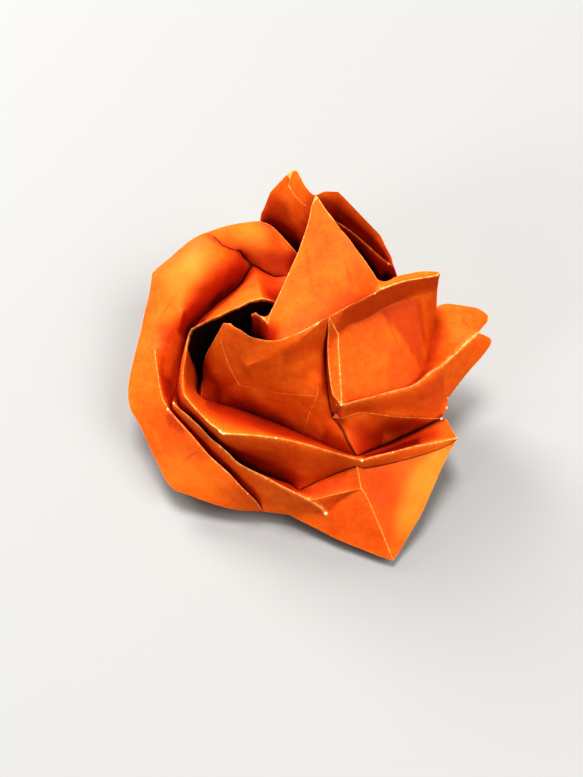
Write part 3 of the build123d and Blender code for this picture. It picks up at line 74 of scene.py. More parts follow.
LINES = {
  'spiral_rim': ('m', 1.25, [
    (-3.300, 12.100, 17.000), (-4.123, 10.540, 20.000), (-4.898, 9.931, 21.600), (-6.137, 9.354, 23.000),
    (-8.028, 8.780, 23.000), (-9.588, 7.827, 23.000), (-11.146, 7.068, 23.000), (-12.690, 6.123, 23.000),
    (-14.251, 5.504, 22.800), (-15.821, 4.830, 22.400), (-17.106, 4.472, 21.800), (-17.705, 3.807, 20.800),
    (-17.974, 2.761, 19.800), (-18.314, 0.840, 18.400), (-18.631, -1.208, 17.200), (-18.617, -3.064, 16.300),
    (-18.278, -4.416, 15.800), (-17.481, -5.278, 15.400), (-16.519, -6.319, 15.000), (-15.384, -7.466, 14.800),
    (-14.246, -8.661, 14.700), (-13.126, -9.496, 14.600), (-12.323, -10.326, 14.500), (-9.491, -10.660, 14.800),
    (-6.366, -10.976, 14.900), (-3.874, -11.274, 14.800), (-1.695, -11.557, 14.500), (1.421, -12.174, 14.000),
    (3.760, -12.757, 13.600), (6.101, -13.340, 13.200), (8.458, -13.737, 12.600), (9.555, -13.985, 12.400),
    (11.653, -13.039, 11.900), (14.587, -11.895, 11.200), (17.399, -10.742, 10.500), (20.736, -9.616, 9.700),
    (23.920, -8.675, 9.100), (25.262, -8.299, 8.900),]),  # rim of the second petal layer: mountain fold from the bud, round the left side and along the front
  'spiral_valley': ('v', 0.00, [
    (-16.319, -1.351, 9.400), (-14.064, -1.468, 8.600), (-11.597, -1.999, 8.200), (-9.119, -2.641, 8.000),
    (-6.640, -3.657, 7.800), (-3.347, -5.041, 7.600), (-0.075, -6.705, 7.600), (3.157, -8.561, 8.000),
    (6.314, -10.697, 9.000), (8.921, -12.378, 10.400),]),  # valley fold between the bud wall and the spiral rim
  'spiral_valley_right': ('v', 0.00, [
    (8.921, -12.378, 10.400), (10.949, -9.869, 7.000), (13.160, -7.636, 4.400), (15.719, -6.232, 4.200),
    (18.124, -5.603, 5.500), (20.493, -5.039, 6.900), (23.088, -4.031, 7.800),]),  # the same valley carried on to the right side
  'bud_hole_floor': ('v', 0.00, [
    (-16.319, -1.351, 9.400), (-17.204, -0.022, 8.000), (-16.972, 1.365, 7.000), (-16.547, 2.527, 5.600),
    (-15.382, 3.569, 4.400), (-14.430, 3.926, 4.000), (-13.181, 4.517, 4.000), (-10.746, 5.219, 4.200),
    (-7.904, 8.270, 7.000), (-6.571, 8.564, 10.000), (-4.781, 7.975, 14.000), (-3.300, 12.100, 17.000),]),  # bottom of the hole beside the bud
  'bud_hole_branch': ('v', 0.00, [
    (-10.746, 5.219, 4.200), (-8.477, 4.707, 9.000), (-6.192, 2.784, 13.500), (-4.888, 1.535, 19.500),
    (-3.089, 1.054, 22.800),]),  # second valley inside the hole, behind the bud rim
  'bud_wall_edge': ('m', 0.22, [
    (-11.874, 3.311, 25.000), (-12.730, 2.822, 23.200), (-13.437, 2.551, 21.600), (-14.938, 2.263, 17.600),
    (-15.630, 1.890, 14.200), (-15.777, 1.164, 11.600), (-16.319, -1.351, 9.400),]),  # left edge of the bud wall where it turns into the hole
  'bud_rim': ('m', 0.80, [
    (-11.874, 3.311, 25.000), (-10.940, 3.153, 25.100), (-10.147, 2.445, 25.200), (-9.202, 1.767, 25.400),
    (-7.789, 0.485, 25.700), (-6.250, -0.184, 25.900), (-4.725, -0.517, 26.000), (-3.207, -0.491, 26.100),
    (-1.690, 0.165, 26.200), (-0.169, 0.823, 26.300), (1.359, 1.664, 26.400), (2.897, 2.757, 26.400),
    (4.283, 3.516, 26.500), (5.992, 4.621, 26.500), (7.555, 5.640, 26.500), (9.125, 6.571, 26.500),
    (10.712, 7.577, 26.400), (11.504, 8.048, 26.400), (12.322, 8.754, 26.200), (13.955, 9.795, 25.800),
    (15.588, 10.676, 25.500), (16.903, 11.274, 25.200), (18.886, 12.017, 24.700), (21.726, 13.102, 24.000),
    (22.163, 13.688, 24.000),]),  # long mountain fold over the bud wall up to the right-hand petal corner
  'bud_rim_back': ('m', 0.00, [
    (12.322, 8.754, 26.200), (14.740, 11.899, 25.000), (16.557, 12.768, 24.600),]),  # back edge of the narrow strip behind the bud rim
  'bud_rim_valley': ('v', 0.00, [
    (-3.089, 1.054, 22.800), (-0.143, 2.268, 23.200), (2.980, 4.175, 23.400), (6.135, 6.072, 23.500),
    (9.328, 8.057, 23.500), (11.422, 9.104, 24.600), (12.322, 8.754, 26.200),]),  # valley just behind the bud rim, at the foot of the tall petal
  'tall_petal_left': ('m', 0.45, [
    (2.453, 24.454, 30.000), (1.807, 22.705, 29.400), (1.401, 20.602, 28.750), (0.839, 18.712, 28.100),
    (0.392, 17.432, 27.700), (-0.339, 15.401, 27.000), (-0.973, 14.013, 26.500), (-1.698, 12.437, 26.000),
    (-2.453, 10.747, 25.400), (-3.173, 9.186, 24.900), (-4.045, 7.323, 24.300), (-4.668, 6.120, 23.850),
    (-5.131, 4.613, 23.300),]),  # left edge of the tall petal
  'inner_tuck': ('m', 1.30, [
    (-7.752, 7.647, 21.000), (-7.101, 7.599, 21.500), (-6.121, 6.411, 22.000), (-5.131, 4.613, 23.300),]),  # edge of the paper tucked inside the hole
  'inner_tuck_left': ('m', 0.00, [
    (-7.752, 7.647, 21.000), (-8.477, 4.707, 9.000),]),  # left side of that tuck
  'inner_tuck_right': ('v', 0.00, [
    (-5.131, 4.613, 23.300), (-4.888, 1.535, 19.500),]),  # right side of that tuck
  'tall_petal_valley': ('v', 0.00, [
    (-3.300, 12.100, 17.000), (-2.700, 14.300, 16.800), (-2.000, 16.600, 16.400), (-1.250, 18.700, 16.200),
    (-0.446, 20.065, 14.000), (0.204, 21.165, 12.000), (1.145, 22.771, 14.500), (1.733, 23.935, 22.000),
    (2.453, 24.454, 30.000),]),  # valley along the left foot of the tall petal
  'back_petal_valley': ('v', 0.00, [
    (-7.038, 27.670, 16.200), (-4.573, 26.949, 14.000), (-2.689, 25.264, 12.800), (-0.912, 23.122, 12.000),
    (0.204, 21.165, 12.000),]),  # valley between the rolled petal and the pointed back petal
  'roll_back_edge': ('m', 0.35, [
    (-6.932, 26.897, 20.300), (-5.073, 26.049, 20.300), (-3.389, 24.464, 19.900), (-1.712, 22.472, 19.500),
    (-0.546, 20.965, 19.300), (-0.446, 20.065, 14.000),]),  # back edge of the rolled petal
  'back_petal_crease': ('m', 0.50, [
    (-1.213, 32.460, 27.000), (-1.878, 30.734, 25.000), (-1.048, 28.944, 25.100), (-0.227, 27.427, 25.400),
    (0.908, 25.680, 26.000),]),  # crease inside the pointed back petal
  'roll_top_crease': ('s', 0.00, [
    (-6.089, 25.540, 19.600), (-5.080, 24.395, 18.900), (-4.068, 22.831, 18.200), (-3.225, 21.404, 17.600),
    (-2.385, 19.981, 17.000), (-1.250, 18.700, 16.200),]),  # crease across the top of the rolled petal
  'roll_valley_right': ('v', 0.00, [
    (-8.068, 22.676, 13.600), (-7.199, 22.075, 13.700), (-5.980, 20.913, 14.000), (-4.260, 19.583, 14.400),
    (-2.728, 19.217, 15.200), (-1.250, 18.700, 16.200),]),  # valley under the top of the rolled petal
  'roll_valley_left': ('v', 0.00, [
    (-8.068, 22.676, 13.600), (-9.109, 21.503, 12.600), (-10.316, 19.765, 11.500), (-12.009, 18.305, 11.200),
    (-13.694, 16.992, 11.000), (-15.337, 15.141, 11.000), (-16.975, 13.373, 10.900), (-18.093, 11.621, 10.800),
    (-19.034, 9.883, 10.700), (-19.596, 7.238, 10.500), (-19.902, 4.625, 10.300), (-20.028, 1.986, 10.200),
    (-20.416, -0.107, 10.200),]),  # valley between the rolled petal and the spiral wall
  'spiral_wall_ridge': ('m', 0.00, [
    (-8.068, 22.676, 13.600), (-7.275, 19.137, 15.600), (-7.008, 16.339, 17.800), (-6.137, 9.354, 23.000),]),  # ridge up the outer spiral wall to its peak
  'roll_pinch': ('v', 0.00, [
    (-15.754, 25.789, 18.600), (-14.386, 24.991, 18.400), (-13.228, 24.066, 17.400), (-11.908, 23.933, 16.600),]),  # pinch between the two bulges of the rolled petal
  'roll_crack': ('v', 0.00, [
    (-11.908, 23.933, 16.600), (-10.251, 24.188, 15.700), (-9.607, 23.781, 14.400), (-8.068, 22.676, 13.600),]),  # crack where the roll lies on the left petal
  'roll_top': ('s', 0.00, [
    (-13.226, 25.222, 18.100), (-11.535, 24.952, 17.900), (-9.672, 24.577, 17.700), (-7.981, 23.796, 17.200),
    (-6.455, 22.566, 16.600), (-5.097, 21.128, 16.000),]),  # top of the rolled petal
  'roll_shoulder': ('s', 0.00, [
    (-9.607, 23.781, 14.400), (-10.623, 21.345, 17.400), (-12.516, 19.222, 18.600), (-14.930, 17.706, 19.000),
    (-16.553, 16.636, 18.800), (-17.821, 14.448, 18.200), (-18.454, 12.872, 17.600), (-19.105, 11.696, 17.000),
    (-20.604, 10.394, 16.000), (-22.603, 8.105, 14.400), (-23.857, 5.698, 13.600),]),  # shoulder of the rolled petal
  'left_petal_ridge_end': ('m', 0.45, [
    (-23.857, 5.698, 13.600), (-23.423, 2.890, 13.800), (-22.941, 0.246, 13.800), (-22.502, -1.932, 13.700),
    (-22.035, -3.607, 13.400), (-21.189, -5.123, 13.000),]),  # sharp lower end of the left petal ridge
  'roll_crest': ('s', 0.00, [
    (-16.998, 25.878, 17.800), (-17.468, 22.320, 18.600), (-19.244, 19.867, 18.000), (-21.089, 17.600, 16.600),
    (-22.556, 14.521, 15.200), (-23.634, 10.926, 14.000), (-23.857, 5.698, 13.600),]),  # crest of the rolled petal
  'roll_dent': ('v', 0.00, [
    (-19.105, 11.696, 17.000), (-20.284, 9.338, 13.400), (-21.247, 6.306, 12.000), (-21.610, 2.808, 11.400),
    (-21.213, 0.493, 10.800), (-20.416, -0.107, 10.200),]),  # dent in the side of the rolled petal
  'tuck_flap_valley': ('v', 0.00, [
    (-20.416, -0.107, 10.200), (-19.048, -4.819, 11.400), (-18.071, -5.703, 11.000), (-17.011, -6.765, 10.400),
    (-15.633, -7.989, 9.600), (-14.276, -9.344, 8.600), (-12.945, -10.304, 7.600), (-11.783, -11.344, 6.800),
    (-9.843, -12.113, 6.200), (-7.177, -12.848, 5.600), (-4.357, -13.698, 5.200), (-1.697, -14.725, 5.400),
    (-0.182, -16.351, 6.200),]),  # valley between the spiral wall and the narrow front flap
  'tuck_flap_rim': ('m', 1.70, [
    (-20.357, -4.381, 13.800), (-19.817, -5.222, 14.000), (-18.661, -6.129, 14.000), (-17.503, -7.211, 14.000),
    (-15.903, -8.555, 13.500), (-14.311, -10.146, 12.800), (-12.732, -11.254, 12.200), (-11.150, -12.537, 11.600),
    (-10.196, -13.567, 11.200), (-7.988, -14.720, 10.700), (-6.412, -15.446, 10.400), (-4.841, -16.123, 10.000),
    (-3.268, -16.973, 9.600), (-1.698, -17.650, 9.200), (-0.124, -18.190, 8.500), (1.459, -18.642, 7.600),
    (3.062, -19.008, 6.300), (4.037, -19.731, 5.000),]),  # rim of the narrow front flap
  'tuck_flap_end': ('m', 0.00, [
    (-20.357, -4.381, 13.800), (-20.416, -0.107, 10.200),]),  # left end of that flap
  'roll_gap': ('v', 0.00, [
    (-20.416, -0.107, 10.200), (-20.773, -4.752, 11.600), (-18.934, -6.715, 11.000), (-17.540, -8.113, 10.300),
    (-15.935, -9.674, 9.500), (-14.347, -11.353, 8.500), (-12.770, -12.575, 7.700), (-11.187, -13.880, 6.900),
    (-9.830, -15.295, 6.000), (-8.261, -16.425, 5.000), (-6.960, -17.195, 4.000), (-6.236, -18.197, 2.700),]),  # gap between the narrow flap and the lower rim of the rolled petal
  'roll_lower_rim': ('m', 0.80, [
    (-21.189, -5.123, 13.000), (-19.207, -7.301, 12.500), (-17.578, -9.015, 12.000), (-15.967, -10.794, 11.300),
    (-14.376, -12.340, 10.500), (-12.798, -13.532, 9.700), (-11.211, -14.774, 9.000), (-9.632, -16.225, 8.000),
    (-8.379, -17.156, 7.000), (-7.143, -17.778, 5.300), (-6.236, -18.197, 2.700),]),  # lower rim of the rolled petal
  'front_valley': ('v', 0.00, [
    (-1.704, -18.942, 3.000), (0.707, -19.031, 3.800), (2.623, -19.293, 4.200), (4.037, -19.731, 5.000),]),  # foot of the narrow flap on the front petal
  'front_step': ('v', 0.00, [
    (4.037, -19.731, 5.000), (4.831, -19.214, 5.400), (6.264, -17.707, 6.300), (9.525, -16.812, 8.400),]),  # small facet edge beside the flap tip
  'front_petal_valley': ('v', 0.00, [
    (-0.182, -16.351, 6.200), (2.302, -15.088, 6.700), (4.691, -14.280, 7.600), (7.040, -13.896, 9.000),
    (8.839, -14.168, 11.000), (9.971, -14.225, 10.400), (12.581, -13.395, 9.600), (15.857, -12.303, 9.000),
    (20.821, -10.484, 8.400), (23.973, -9.130, 8.400), (25.262, -8.299, 8.900),]),  # valley between the spiral wall and the front corner petal
  'front_petal_pleat': ('m', 0.25, [
    (1.459, -18.642, 7.600), (9.525, -16.812, 8.400),]),  # small pleat on the front petal
  'front_petal_crease': ('m', 0.35, [
    (8.839, -14.168, 11.000), (9.525, -16.812, 8.400), (10.154, -17.615, 8.000), (10.952, -18.935, 7.100),
    (11.755, -20.512, 6.000), (12.721, -22.350, 4.700), (13.709, -24.242, 3.100), (14.701, -26.146, 1.500),]),  # crease of the front corner petal down to its tip
  'pleat_valley': ('v', 0.00, [
    (4.283, 3.516, 26.500), (3.980, 2.900, 22.400), (3.930, 1.700, 19.600), (4.000, -0.200, 17.900),
    (4.300, -2.800, 15.900), (4.660, -4.900, 14.200), (5.200, -6.200, 12.200), (6.440, -7.596, 11.700),
    (7.363, -9.724, 11.300), (8.139, -11.123, 10.900), (8.921, -12.378, 10.400),]),  # pleat line on the right of the bud wall
  'pleat_crack': ('s', 0.00, [
    (3.500, 2.700, 23.000), (3.360, 1.600, 21.500), (3.420, -0.300, 19.700), (3.700, -2.900, 17.500),
    (4.050, -5.000, 15.700), (4.550, -6.400, 13.400), (5.740, -7.596, 12.500), (6.763, -9.724, 11.800),]),  # edge of the bud along the pleat
  'pleat_strip_edge': ('m', 0.60, [
    (4.283, 3.516, 26.500), (4.306, 2.581, 23.000), (4.233, 1.564, 21.700), (4.323, -0.261, 20.200),
    (4.642, -2.889, 18.500), (5.030, -4.964, 17.400), (6.348, -6.510, 16.800),]),  # free edge of the pleat strip
  'pleat_edge': ('m', 0.70, [
    (4.283, 3.516, 26.500), (5.787, 2.838, 22.600), (5.808, 1.753, 21.400), (5.975, -0.139, 20.000),
    (6.133, -2.831, 18.400), (6.286, -4.907, 17.300), (6.348, -6.510, 16.800),]),  # standing edge beside the pleat
  'bud_rim_foot': ('v', 0.00, [
    (5.787, 2.838, 22.600), (7.555, 5.090, 22.200), (9.225, 5.971, 21.600), (10.812, 6.977, 21.400),
    (12.422, 8.154, 21.400), (14.055, 9.195, 21.400), (15.688, 10.076, 21.200), (18.986, 11.467, 21.400),
    (21.972, 12.628, 20.800),]),  # foot of the step under the bud rim
  'right_petal_rim': ('m', 1.80, [
    (6.348, -6.510, 16.800), (7.699, -5.950, 16.600), (10.895, -4.824, 16.200), (14.131, -3.506, 15.800),
    (17.393, -2.360, 15.400), (19.404, -0.951, 15.200), (20.778, 0.412, 15.100), (22.473, 1.597, 15.000),
    (24.191, 3.109, 15.000), (25.408, 4.251, 15.000), (26.824, 5.784, 15.000), (28.964, 8.012, 15.000),]),  # rim of the right petal
  'right_petal_valley': ('v', 0.00, [
    (6.348, -6.510, 16.800), (7.599, -5.400, 15.600), (10.695, -4.224, 15.000), (13.881, -2.856, 14.400),
    (17.093, -1.660, 13.800), (18.954, -0.251, 13.400), (20.908, 3.880, 12.800), (21.378, 6.197, 12.800),
    (21.801, 8.748, 13.400), (22.137, 10.200, 14.200), (22.285, 11.836, 16.500),]),  # valley behind the right petal rim
  'right_petal_bend': ('m', 0.00, [
    (17.916, 10.994, 20.900), (18.569, 9.094, 19.700), (19.310, 7.329, 17.700), (19.853, 5.218, 15.900),
    (20.251, 3.858, 14.400),]),  # soft bend at the right end of the front right petal
  'right_petal_foot': ('m', 0.30, [
    (5.200, -6.200, 12.200), (6.498, -7.210, 14.000), (9.438, -5.799, 13.400), (12.039, -5.724, 12.600),
    (14.340, -5.651, 11.800), (16.012, -5.453, 11.100), (19.430, -4.767, 9.500), (23.088, -4.031, 7.800),]),  # foot of the right petal wall
  'right_petal_end': ('m', 0.18, [
    (6.348, -6.510, 16.800), (5.200, -6.200, 12.200),]),  # left end of the right petal wall
  'pleated_petal_front': ('m', 0.80, [
    (2.453, 24.454, 30.000), (3.890, 22.501, 28.900), (5.155, 20.880, 28.400), (6.273, 20.291, 28.000),
    (7.554, 19.620, 27.500), (8.669, 18.850, 27.100), (9.779, 17.960, 26.700), (11.050, 16.950, 26.200),
    (12.317, 15.881, 25.700), (13.273, 15.193, 25.300), (14.714, 14.479, 24.800),]),  # front rim of the narrow pleated petal
  'tall_petal_right': ('m', 0.20, [
    (5.155, 20.880, 28.400), (6.260, 19.345, 27.800), (7.508, 17.784, 27.500), (8.585, 16.037, 27.200),
    (9.660, 14.497, 26.900), (10.723, 12.775, 26.600), (11.630, 11.257, 26.300), (12.405, 9.840, 25.600),
    (12.322, 8.754, 26.200),]),  # right edge of the tall petal
  'pleated_petal_valley': ('v', 0.00, [
    (5.155, 20.880, 28.400), (6.271, 20.020, 25.600), (7.530, 18.743, 22.400), (8.624, 17.424, 19.600),
    (9.713, 16.111, 17.600), (10.879, 14.745, 16.600), (11.972, 13.459, 16.200), (14.010, 13.534, 17.000),
    (16.228, 14.138, 19.500),]),  # valley between the tall petal and the pleated petal
  'pleated_petal_pocket': ('v', 0.00, [
    (2.453, 24.454, 30.000), (3.896, 23.837, 26.000), (5.568, 22.975, 23.600), (8.113, 21.041, 21.600),
    (10.018, 19.321, 20.200), (11.373, 18.187, 19.800), (12.967, 16.351, 20.400), (13.844, 15.427, 22.400),
    (14.714, 14.479, 24.800),]),  # bottom of the pocket in the pleated petal
  'pleated_inner_fold': ('v', 0.00, [
    (5.981, 25.069, 30.000), (5.568, 22.975, 23.600),]),  # inner fold of the pleated petal
  'bud_wall_crease': ('m', 0.40, [
    (-12.453, 2.170, 22.200), (-11.499, 0.469, 18.400), (-10.608, -0.733, 16.400), (-9.691, -1.701, 14.900),]),  # soft crease on the bud wall
  'bud_wall_crease_low': ('m', 0.20, [
    (-9.691, -1.701, 14.900), (-7.756, -2.370, 15.100), (-3.285, -3.517, 15.500), (-0.118, -3.996, 15.700),
    (2.567, -4.235, 15.800),]),  # second soft crease on the bud wall
  'bud_wall_crease_right': ('m', 0.22, [
    (2.693, -3.141, 18.000), (2.567, -4.235, 15.800), (1.497, -5.359, 12.600), (0.571, -6.837, 8.200),]),  # third soft crease on the bud wall
  'bud_lip': ('m', 0.00, [
    (-8.380, -1.599, 20.600), (-6.622, -1.906, 22.300), (-4.753, -1.802, 23.600), (-1.995, -0.875, 25.000),
    (0.138, 0.330, 25.800), (1.665, 1.522, 26.200), (2.897, 2.757, 26.400),]),  # bend under the lip of the bud
}
# outside of the flower: ring of the outer petals half way down, square base, middle of the four locking flaps
OUTER_WALL = [
    (24.000, 4.000, 7.000), (24.500, 9.500, 8.500), (20.500, 11.500, 9.000), (16.000, 13.500, 10.000),
    (12.500, 17.000, 12.000), (9.000, 21.000, 13.000), (4.000, 23.500, 13.000), (-1.000, 26.000, 12.000),
    (-6.600, 27.600, 10.500), (-12.000, 24.800, 9.000), (-17.500, 21.000, 7.500), (-20.800, 16.000, 6.000),
    (-22.500, 10.000, 5.500), (-24.000, 4.000, 4.500), (-24.300, -2.000, 3.600), (-22.000, -8.000, 2.600),
    (-17.500, -13.000, 1.500), (-10.500, -15.500, 1.100), (-3.000, -16.500, 1.100), (5.000, -19.000, 1.000),
    (13.000, -20.500, 1.000), (18.000, -16.000, 2.500), (21.500, -9.500, 4.500), (21.500, -3.500, 5.000),
]
BASE = [(16.00, 12.00), (-15.50, 14.50), (-17.50, -9.50), (14.00, -12.00)]
SLIT = (1.50, 4.20)
# fold corners rubbed through to the white core: x, y, z, radius
SPOTS = [
    (-12.72, -10.03, 14.60, 0.32),
    (-12.01, -10.41, 14.50, 0.22),
    (-3.87, -11.27, 14.80, 0.20),
    (9.55, -13.99, 12.40, 0.26),
    (14.58, -11.95, 11.30, 0.20),
    (11.50, 8.05, 26.40, 0.27),
    (14.09, 14.90, 24.90, 0.29),
    (1.01, -7.50, 12.20, 0.22),
    (3.96, -19.69, 5.10, 0.36),
    (6.35, -6.51, 16.80, 0.26),
    (5.68, -5.97, 16.00, 0.18),
    (24.11, -0.63, 8.80, 0.29),
    (24.05, -2.24, 8.30, 0.29),
    (23.09, -4.03, 7.80, 0.25),
    (-21.19, -5.12, 13.00, 0.25),
    (14.14, -24.77, 2.30, 0.18),
    (-7.46, 20.17, 15.60, 0.18),
    (-20.19, -4.47, 13.80, 0.22),
    (-18.07, -8.22, 12.20, 0.16),
    (-12.65, -13.40, 9.60, 0.16),
    (-8.38, -17.16, 7.00, 0.16),
]


DEEP = (0.48, 0.070, 0.0034, 1.0)
WARM = (0.53, 0.094, 0.0046, 1.0)
PALE = (0.62, 0.175, 0.018, 1.0)
DARK = (0.38, 0.042, 0.0024, 1.0)
# paler colour of the painted highlights
HIGHLIGHT_TINT = (0.66, 0.23, 0.030, 1.0)
# painted shade colours: dark red for shaded places, near black for deep shadow
SHADED = (0.27, 0.0150, 0.0018, 1.0)
SHADOW_BLACK = (0.010, 0.0010, 0.0006, 1.0)
CORE = (0.76, 0.44, 0.22, 1.0)
WHITE = (0.80, 0.62, 0.42, 1.0)
FLOOR = (0.225, 0.221, 0.214, 1.0)
# painted highlights: paler patches where faces look glossy or brightly lit: x, y, z, radius, amount
PAINTED_HIGHLIGHTS = [(19.8, -14.6, 7.0, 7.0, 0.55), (-18.6, 18.8, 17.8, 7.0, 0.32), (-8.2, 25.2, 18.4, 4.6, 1.0), (-16.5, -14.0, 8.0, 7.0, 0.22), (17.2, -20.2, 4.6, 4.5, 0.40),
         (22.8, -10.6, 8.4, 3.5, 0.40), (-6.6, -2.6, 14.2, 3.0, 0.30)]
# fine creases in the faces, bumped and darkened with painted shade: two ends, width
CREASES = [
    ((0.83, 15.73, 27.34), (1.91, 9.22, 25.12), 0.55), ((6.97, 13.85, 26.73), (8.04, 9.96, 25.16), 0.45),
    ((13.27, 8.45, 21.52), (15.60, 3.94, 17.62), 0.40), ((-18.83, -12.20, 8.42), (-16.31, -11.50, 10.59), 0.30),
    ((-20.99, 21.40, 16.19), (-16.33, 22.73, 18.34), 0.45),
    ((-23.28, 11.40, 14.48), (-20.60, 14.43, 16.50), 0.35), ((26.50, 10.20, 16.29), (27.75, 8.30, 15.62), 0.30),
    ((-6.19, -3.21, 13.35), (-1.38, -4.50, 13.68), 0.30),
    ((-15.91, 25.45, 18.63), (-13.21, 23.87, 17.67), 0.60),
]
# painted shade patches seen from above: amount, softness, lowest height, corners
PAINTED_SHADE_PATCHES = [
    (0.60, 0.5, 12.0, [(12.15, 8.07), (14.26, 6.89), (16.26, 5.32), (19.6, 1.6), (20.2, 6.4), (19.6, 10.4), (18.8, 11.0), (17.1, 10.4)]),
    (0.32, 1.6, 12.0, [(14.2, 3.0), (16.2, 5.0), (19.6, 1.4), (17.0, -1.2), (14.0, -2.2)]),
    (0.42, 0.8, 19.0, [(-3.0, -1.2), (-0.2, 0.0), (3.0, 1.9), (4.9, 2.9), (5.0, 1.6), (2.2, 0.1), (-1.0, -1.5), (-2.6, -2.2)]),
    (0.20, 1.6, 20.0, [(-2.5, 2.5), (5.0, 5.0), (9.0, 8.0), (7.0, 9.5), (-1.0, 6.0)]),
    (0.75, 0.8, 8.0, [(-21.6, -5.6), (-20.6, -5.6), (-18.6, -7.4), (-18.2, -9.0), (-19.4, -8.4), (-21.2, -7.2)]),
    (0.30, 1.4, 6.0, [(-22.4, -6.6), (-20.8, -7.2), (-17.0, -9.6), (-14.5, -12.2), (-16.0, -13.0), (-20.0, -10.6), (-22.4, -8.4)]),
    (0.32, 1.6, 20.0, [(8.0, 14.6), (9.6, 14.0), (11.2, 12.4), (11.8, 10.4), (9.4, 9.8), (8.2, 11.5)]),
    (0.46, 0.7, 5.0, [(0.5, -17.0), (4.0, -15.6), (9.0, -14.6), (9.3, -16.5), (5.0, -17.6), (1.5, -18.3)]),
    (0.42, 1.0, 9.0, [(-23.6, 10.6), (-21.9, 10.2), (-20.6, 10.2), (-20.6, 8.0), (-22.0, 7.2), (-23.4, 7.8)]),
    (1.45, 0.5, 6.0, [(9.48, -12.77), (16.5, -8.24), (19.6, -7.3), (19.2, -9.7), (13.9, -12.0), (10.06, -13.3)]),
    (0.55, 1.2, 6.0, [(19.2, -7.3), (22.3, -5.9), (22.6, -8.6), (19.2, -9.7)]),
    (0.42, 0.6, 8.0, [(7.1, -6.47), (18.27, -2.57), (23.04, 1.2), (23.7, -1.1), (22.87, -3.8), (9.4, -5.9)]),
    (0.46, 0.8, 5.5, [(-12.1, -10.6), (-0.1, -12.3), (9.3, -14.2), (6.25, -14.1), (-0.1, -15.8), (-6.2, -12.9)]),
    (0.50, 0.6, 12.0, [(-16.0, 25.5), (-12.0, 24.35), (-9.6, 24.0), (-9.2, 23.2), (-10.9, 23.3), (-13.2, 23.5)]),
    (0.28, 0.8, 2.0, [(4.6, -18.4), (9.2, -17.4), (13.0, -23.2), (14.2, -25.6), (9.0, -24.0), (4.2, -21.8)]),
    (0.46, 0.8, 15.0, [(-6.5, 28.6), (-4.6, 29.9), (-3.2, 29.3), (-2.2, 28.6), (-1.0, 25.8), (-0.8, 24.5), (-2.4, 25.4), (-4.5, 27.2)]),
    (0.42, 1.8, 3.0, [(9.2, -14.4), (14.6, -12.4), (21.0, -10.0), (18.2, -13.2), (16.6, -16.0), (15.2, -20.0), (14.2, -24.0), (12.7, -22.4), (11.0, -18.9), (9.5, -16.8)]),
    (0.45, 0.5, 3.5, [(2.5, -18.6), (9.3, -16.9), (4.3, -19.6)]),
    (0.60, 1.2, 5.0, [(7.2, -8.0), (9.4, -6.6), (13.0, -7.4), (12.6, -9.3), (9.2, -12.0), (8.2, -10.5)]),
    (0.36, 0.8, 12.0, [(-6.0, 22.2), (-4.2, 23.0), (-3.0, 21.4), (-3.2, 20.6), (-5.6, 21.4)]),
    (0.40, 0.5, 6.0, [(9.6, -14.1), (14.6, -12.1), (20.7, -9.8), (25.0, -8.6), (21.5, -10.4), (15.0, -13.2), (9.8, -15.4)]),
    (0.14, 4.0, 20.0, [(0.5, 20.5), (3.5, 22.5), (9.5, 17.5), (5.0, 14.0), (0.0, 16.0)]),
]
# painted light: places in the folds where the painted shade is lifted: openness at least, softness, lowest height,
# corners
LIT = [
    (0.60, 0.9, 6.0, [(-18.4, 2.2), (-18.8, -1.0), (-18.8, -3.2), (-17.4, -5.5), (-15.0, -5.5), (-15.0, -3.0), (-16.3, -1.3), (-17.1, 0.2), (-17.0, 1.4), (-17.2, 2.2)]),
    (0.46, 0.8, 6.0, [(-17.1, 0.2), (-17.0, 1.8), (-13.6, 1.8), (-13.6, -2.5), (-16.3, -2.5), (-16.3, -1.3)]),
    (0.76, 1.4, 7.0, [(-13.0, -0.4), (-9.0, -1.0), (-4.0, -2.2), (1.0, -4.2), (4.5, -6.8), (3.6, -8.8), (-3.3, -5.0), (-9.1, -2.6), (-13.0, -1.7)]),
    (0.42, 0.6, 15.0, [(5.2, 23.5), (9.0, 21.8), (12.5, 18.5), (14.8, 15.2), (13.0, 14.6), (11.0, 16.5), (8.5, 19.0), (5.5, 21.5)]),
    (0.62, 1.0, 4.0, [(13.2, -6.2), (22.0, -4.4), (21.0, -5.8), (16.5, -6.6), (13.2, -8.0)]),
    (0.74, 1.4, 9.0, [(-22.8, 1.0), (-23.0, 4.0), (-22.4, 8.0), (-20.6, 10.0), (-19.4, 9.0), (-20.2, 6.0), (-21.0, 3.0), (-21.4, 1.0)]),
    (0.86, 0.6, 12.0, [(-4.9, 25.9), (-3.6, 23.0), (-1.6, 21.6), (-1.2, 22.4), (-2.9, 24.6), (-4.4, 26.3)]),
]
# name, azimuth (0 is the camera's side), elevation, distance, size, power
LIGHTS = [
    ("back_left", -145, 30, 2.7, 1.15, 48.6),
    ("high", -165, 73, 2.7, 1.02, 41.4),
    ("left", -55, 24, 2.7, 0.90, 13.5),
    ("right", 72, 52, 2.7, 1.90, 32.4),
]
AMBIENT = 0.16

PAPER_T = 0.25
STEP = 0.6           # spacing of the dense sheet in plan
rng = np.random.default_rng(7)

# ---------------------------------------------------------------------------------------------
# dense fold lines
# ---------------------------------------------------------------------------------------------
count = {}
for pts in [OUTLINE] + [l[2] for l in LINES.values()]:
    for q in set(pts):
        count[q] = count.get(q, 0) + 1


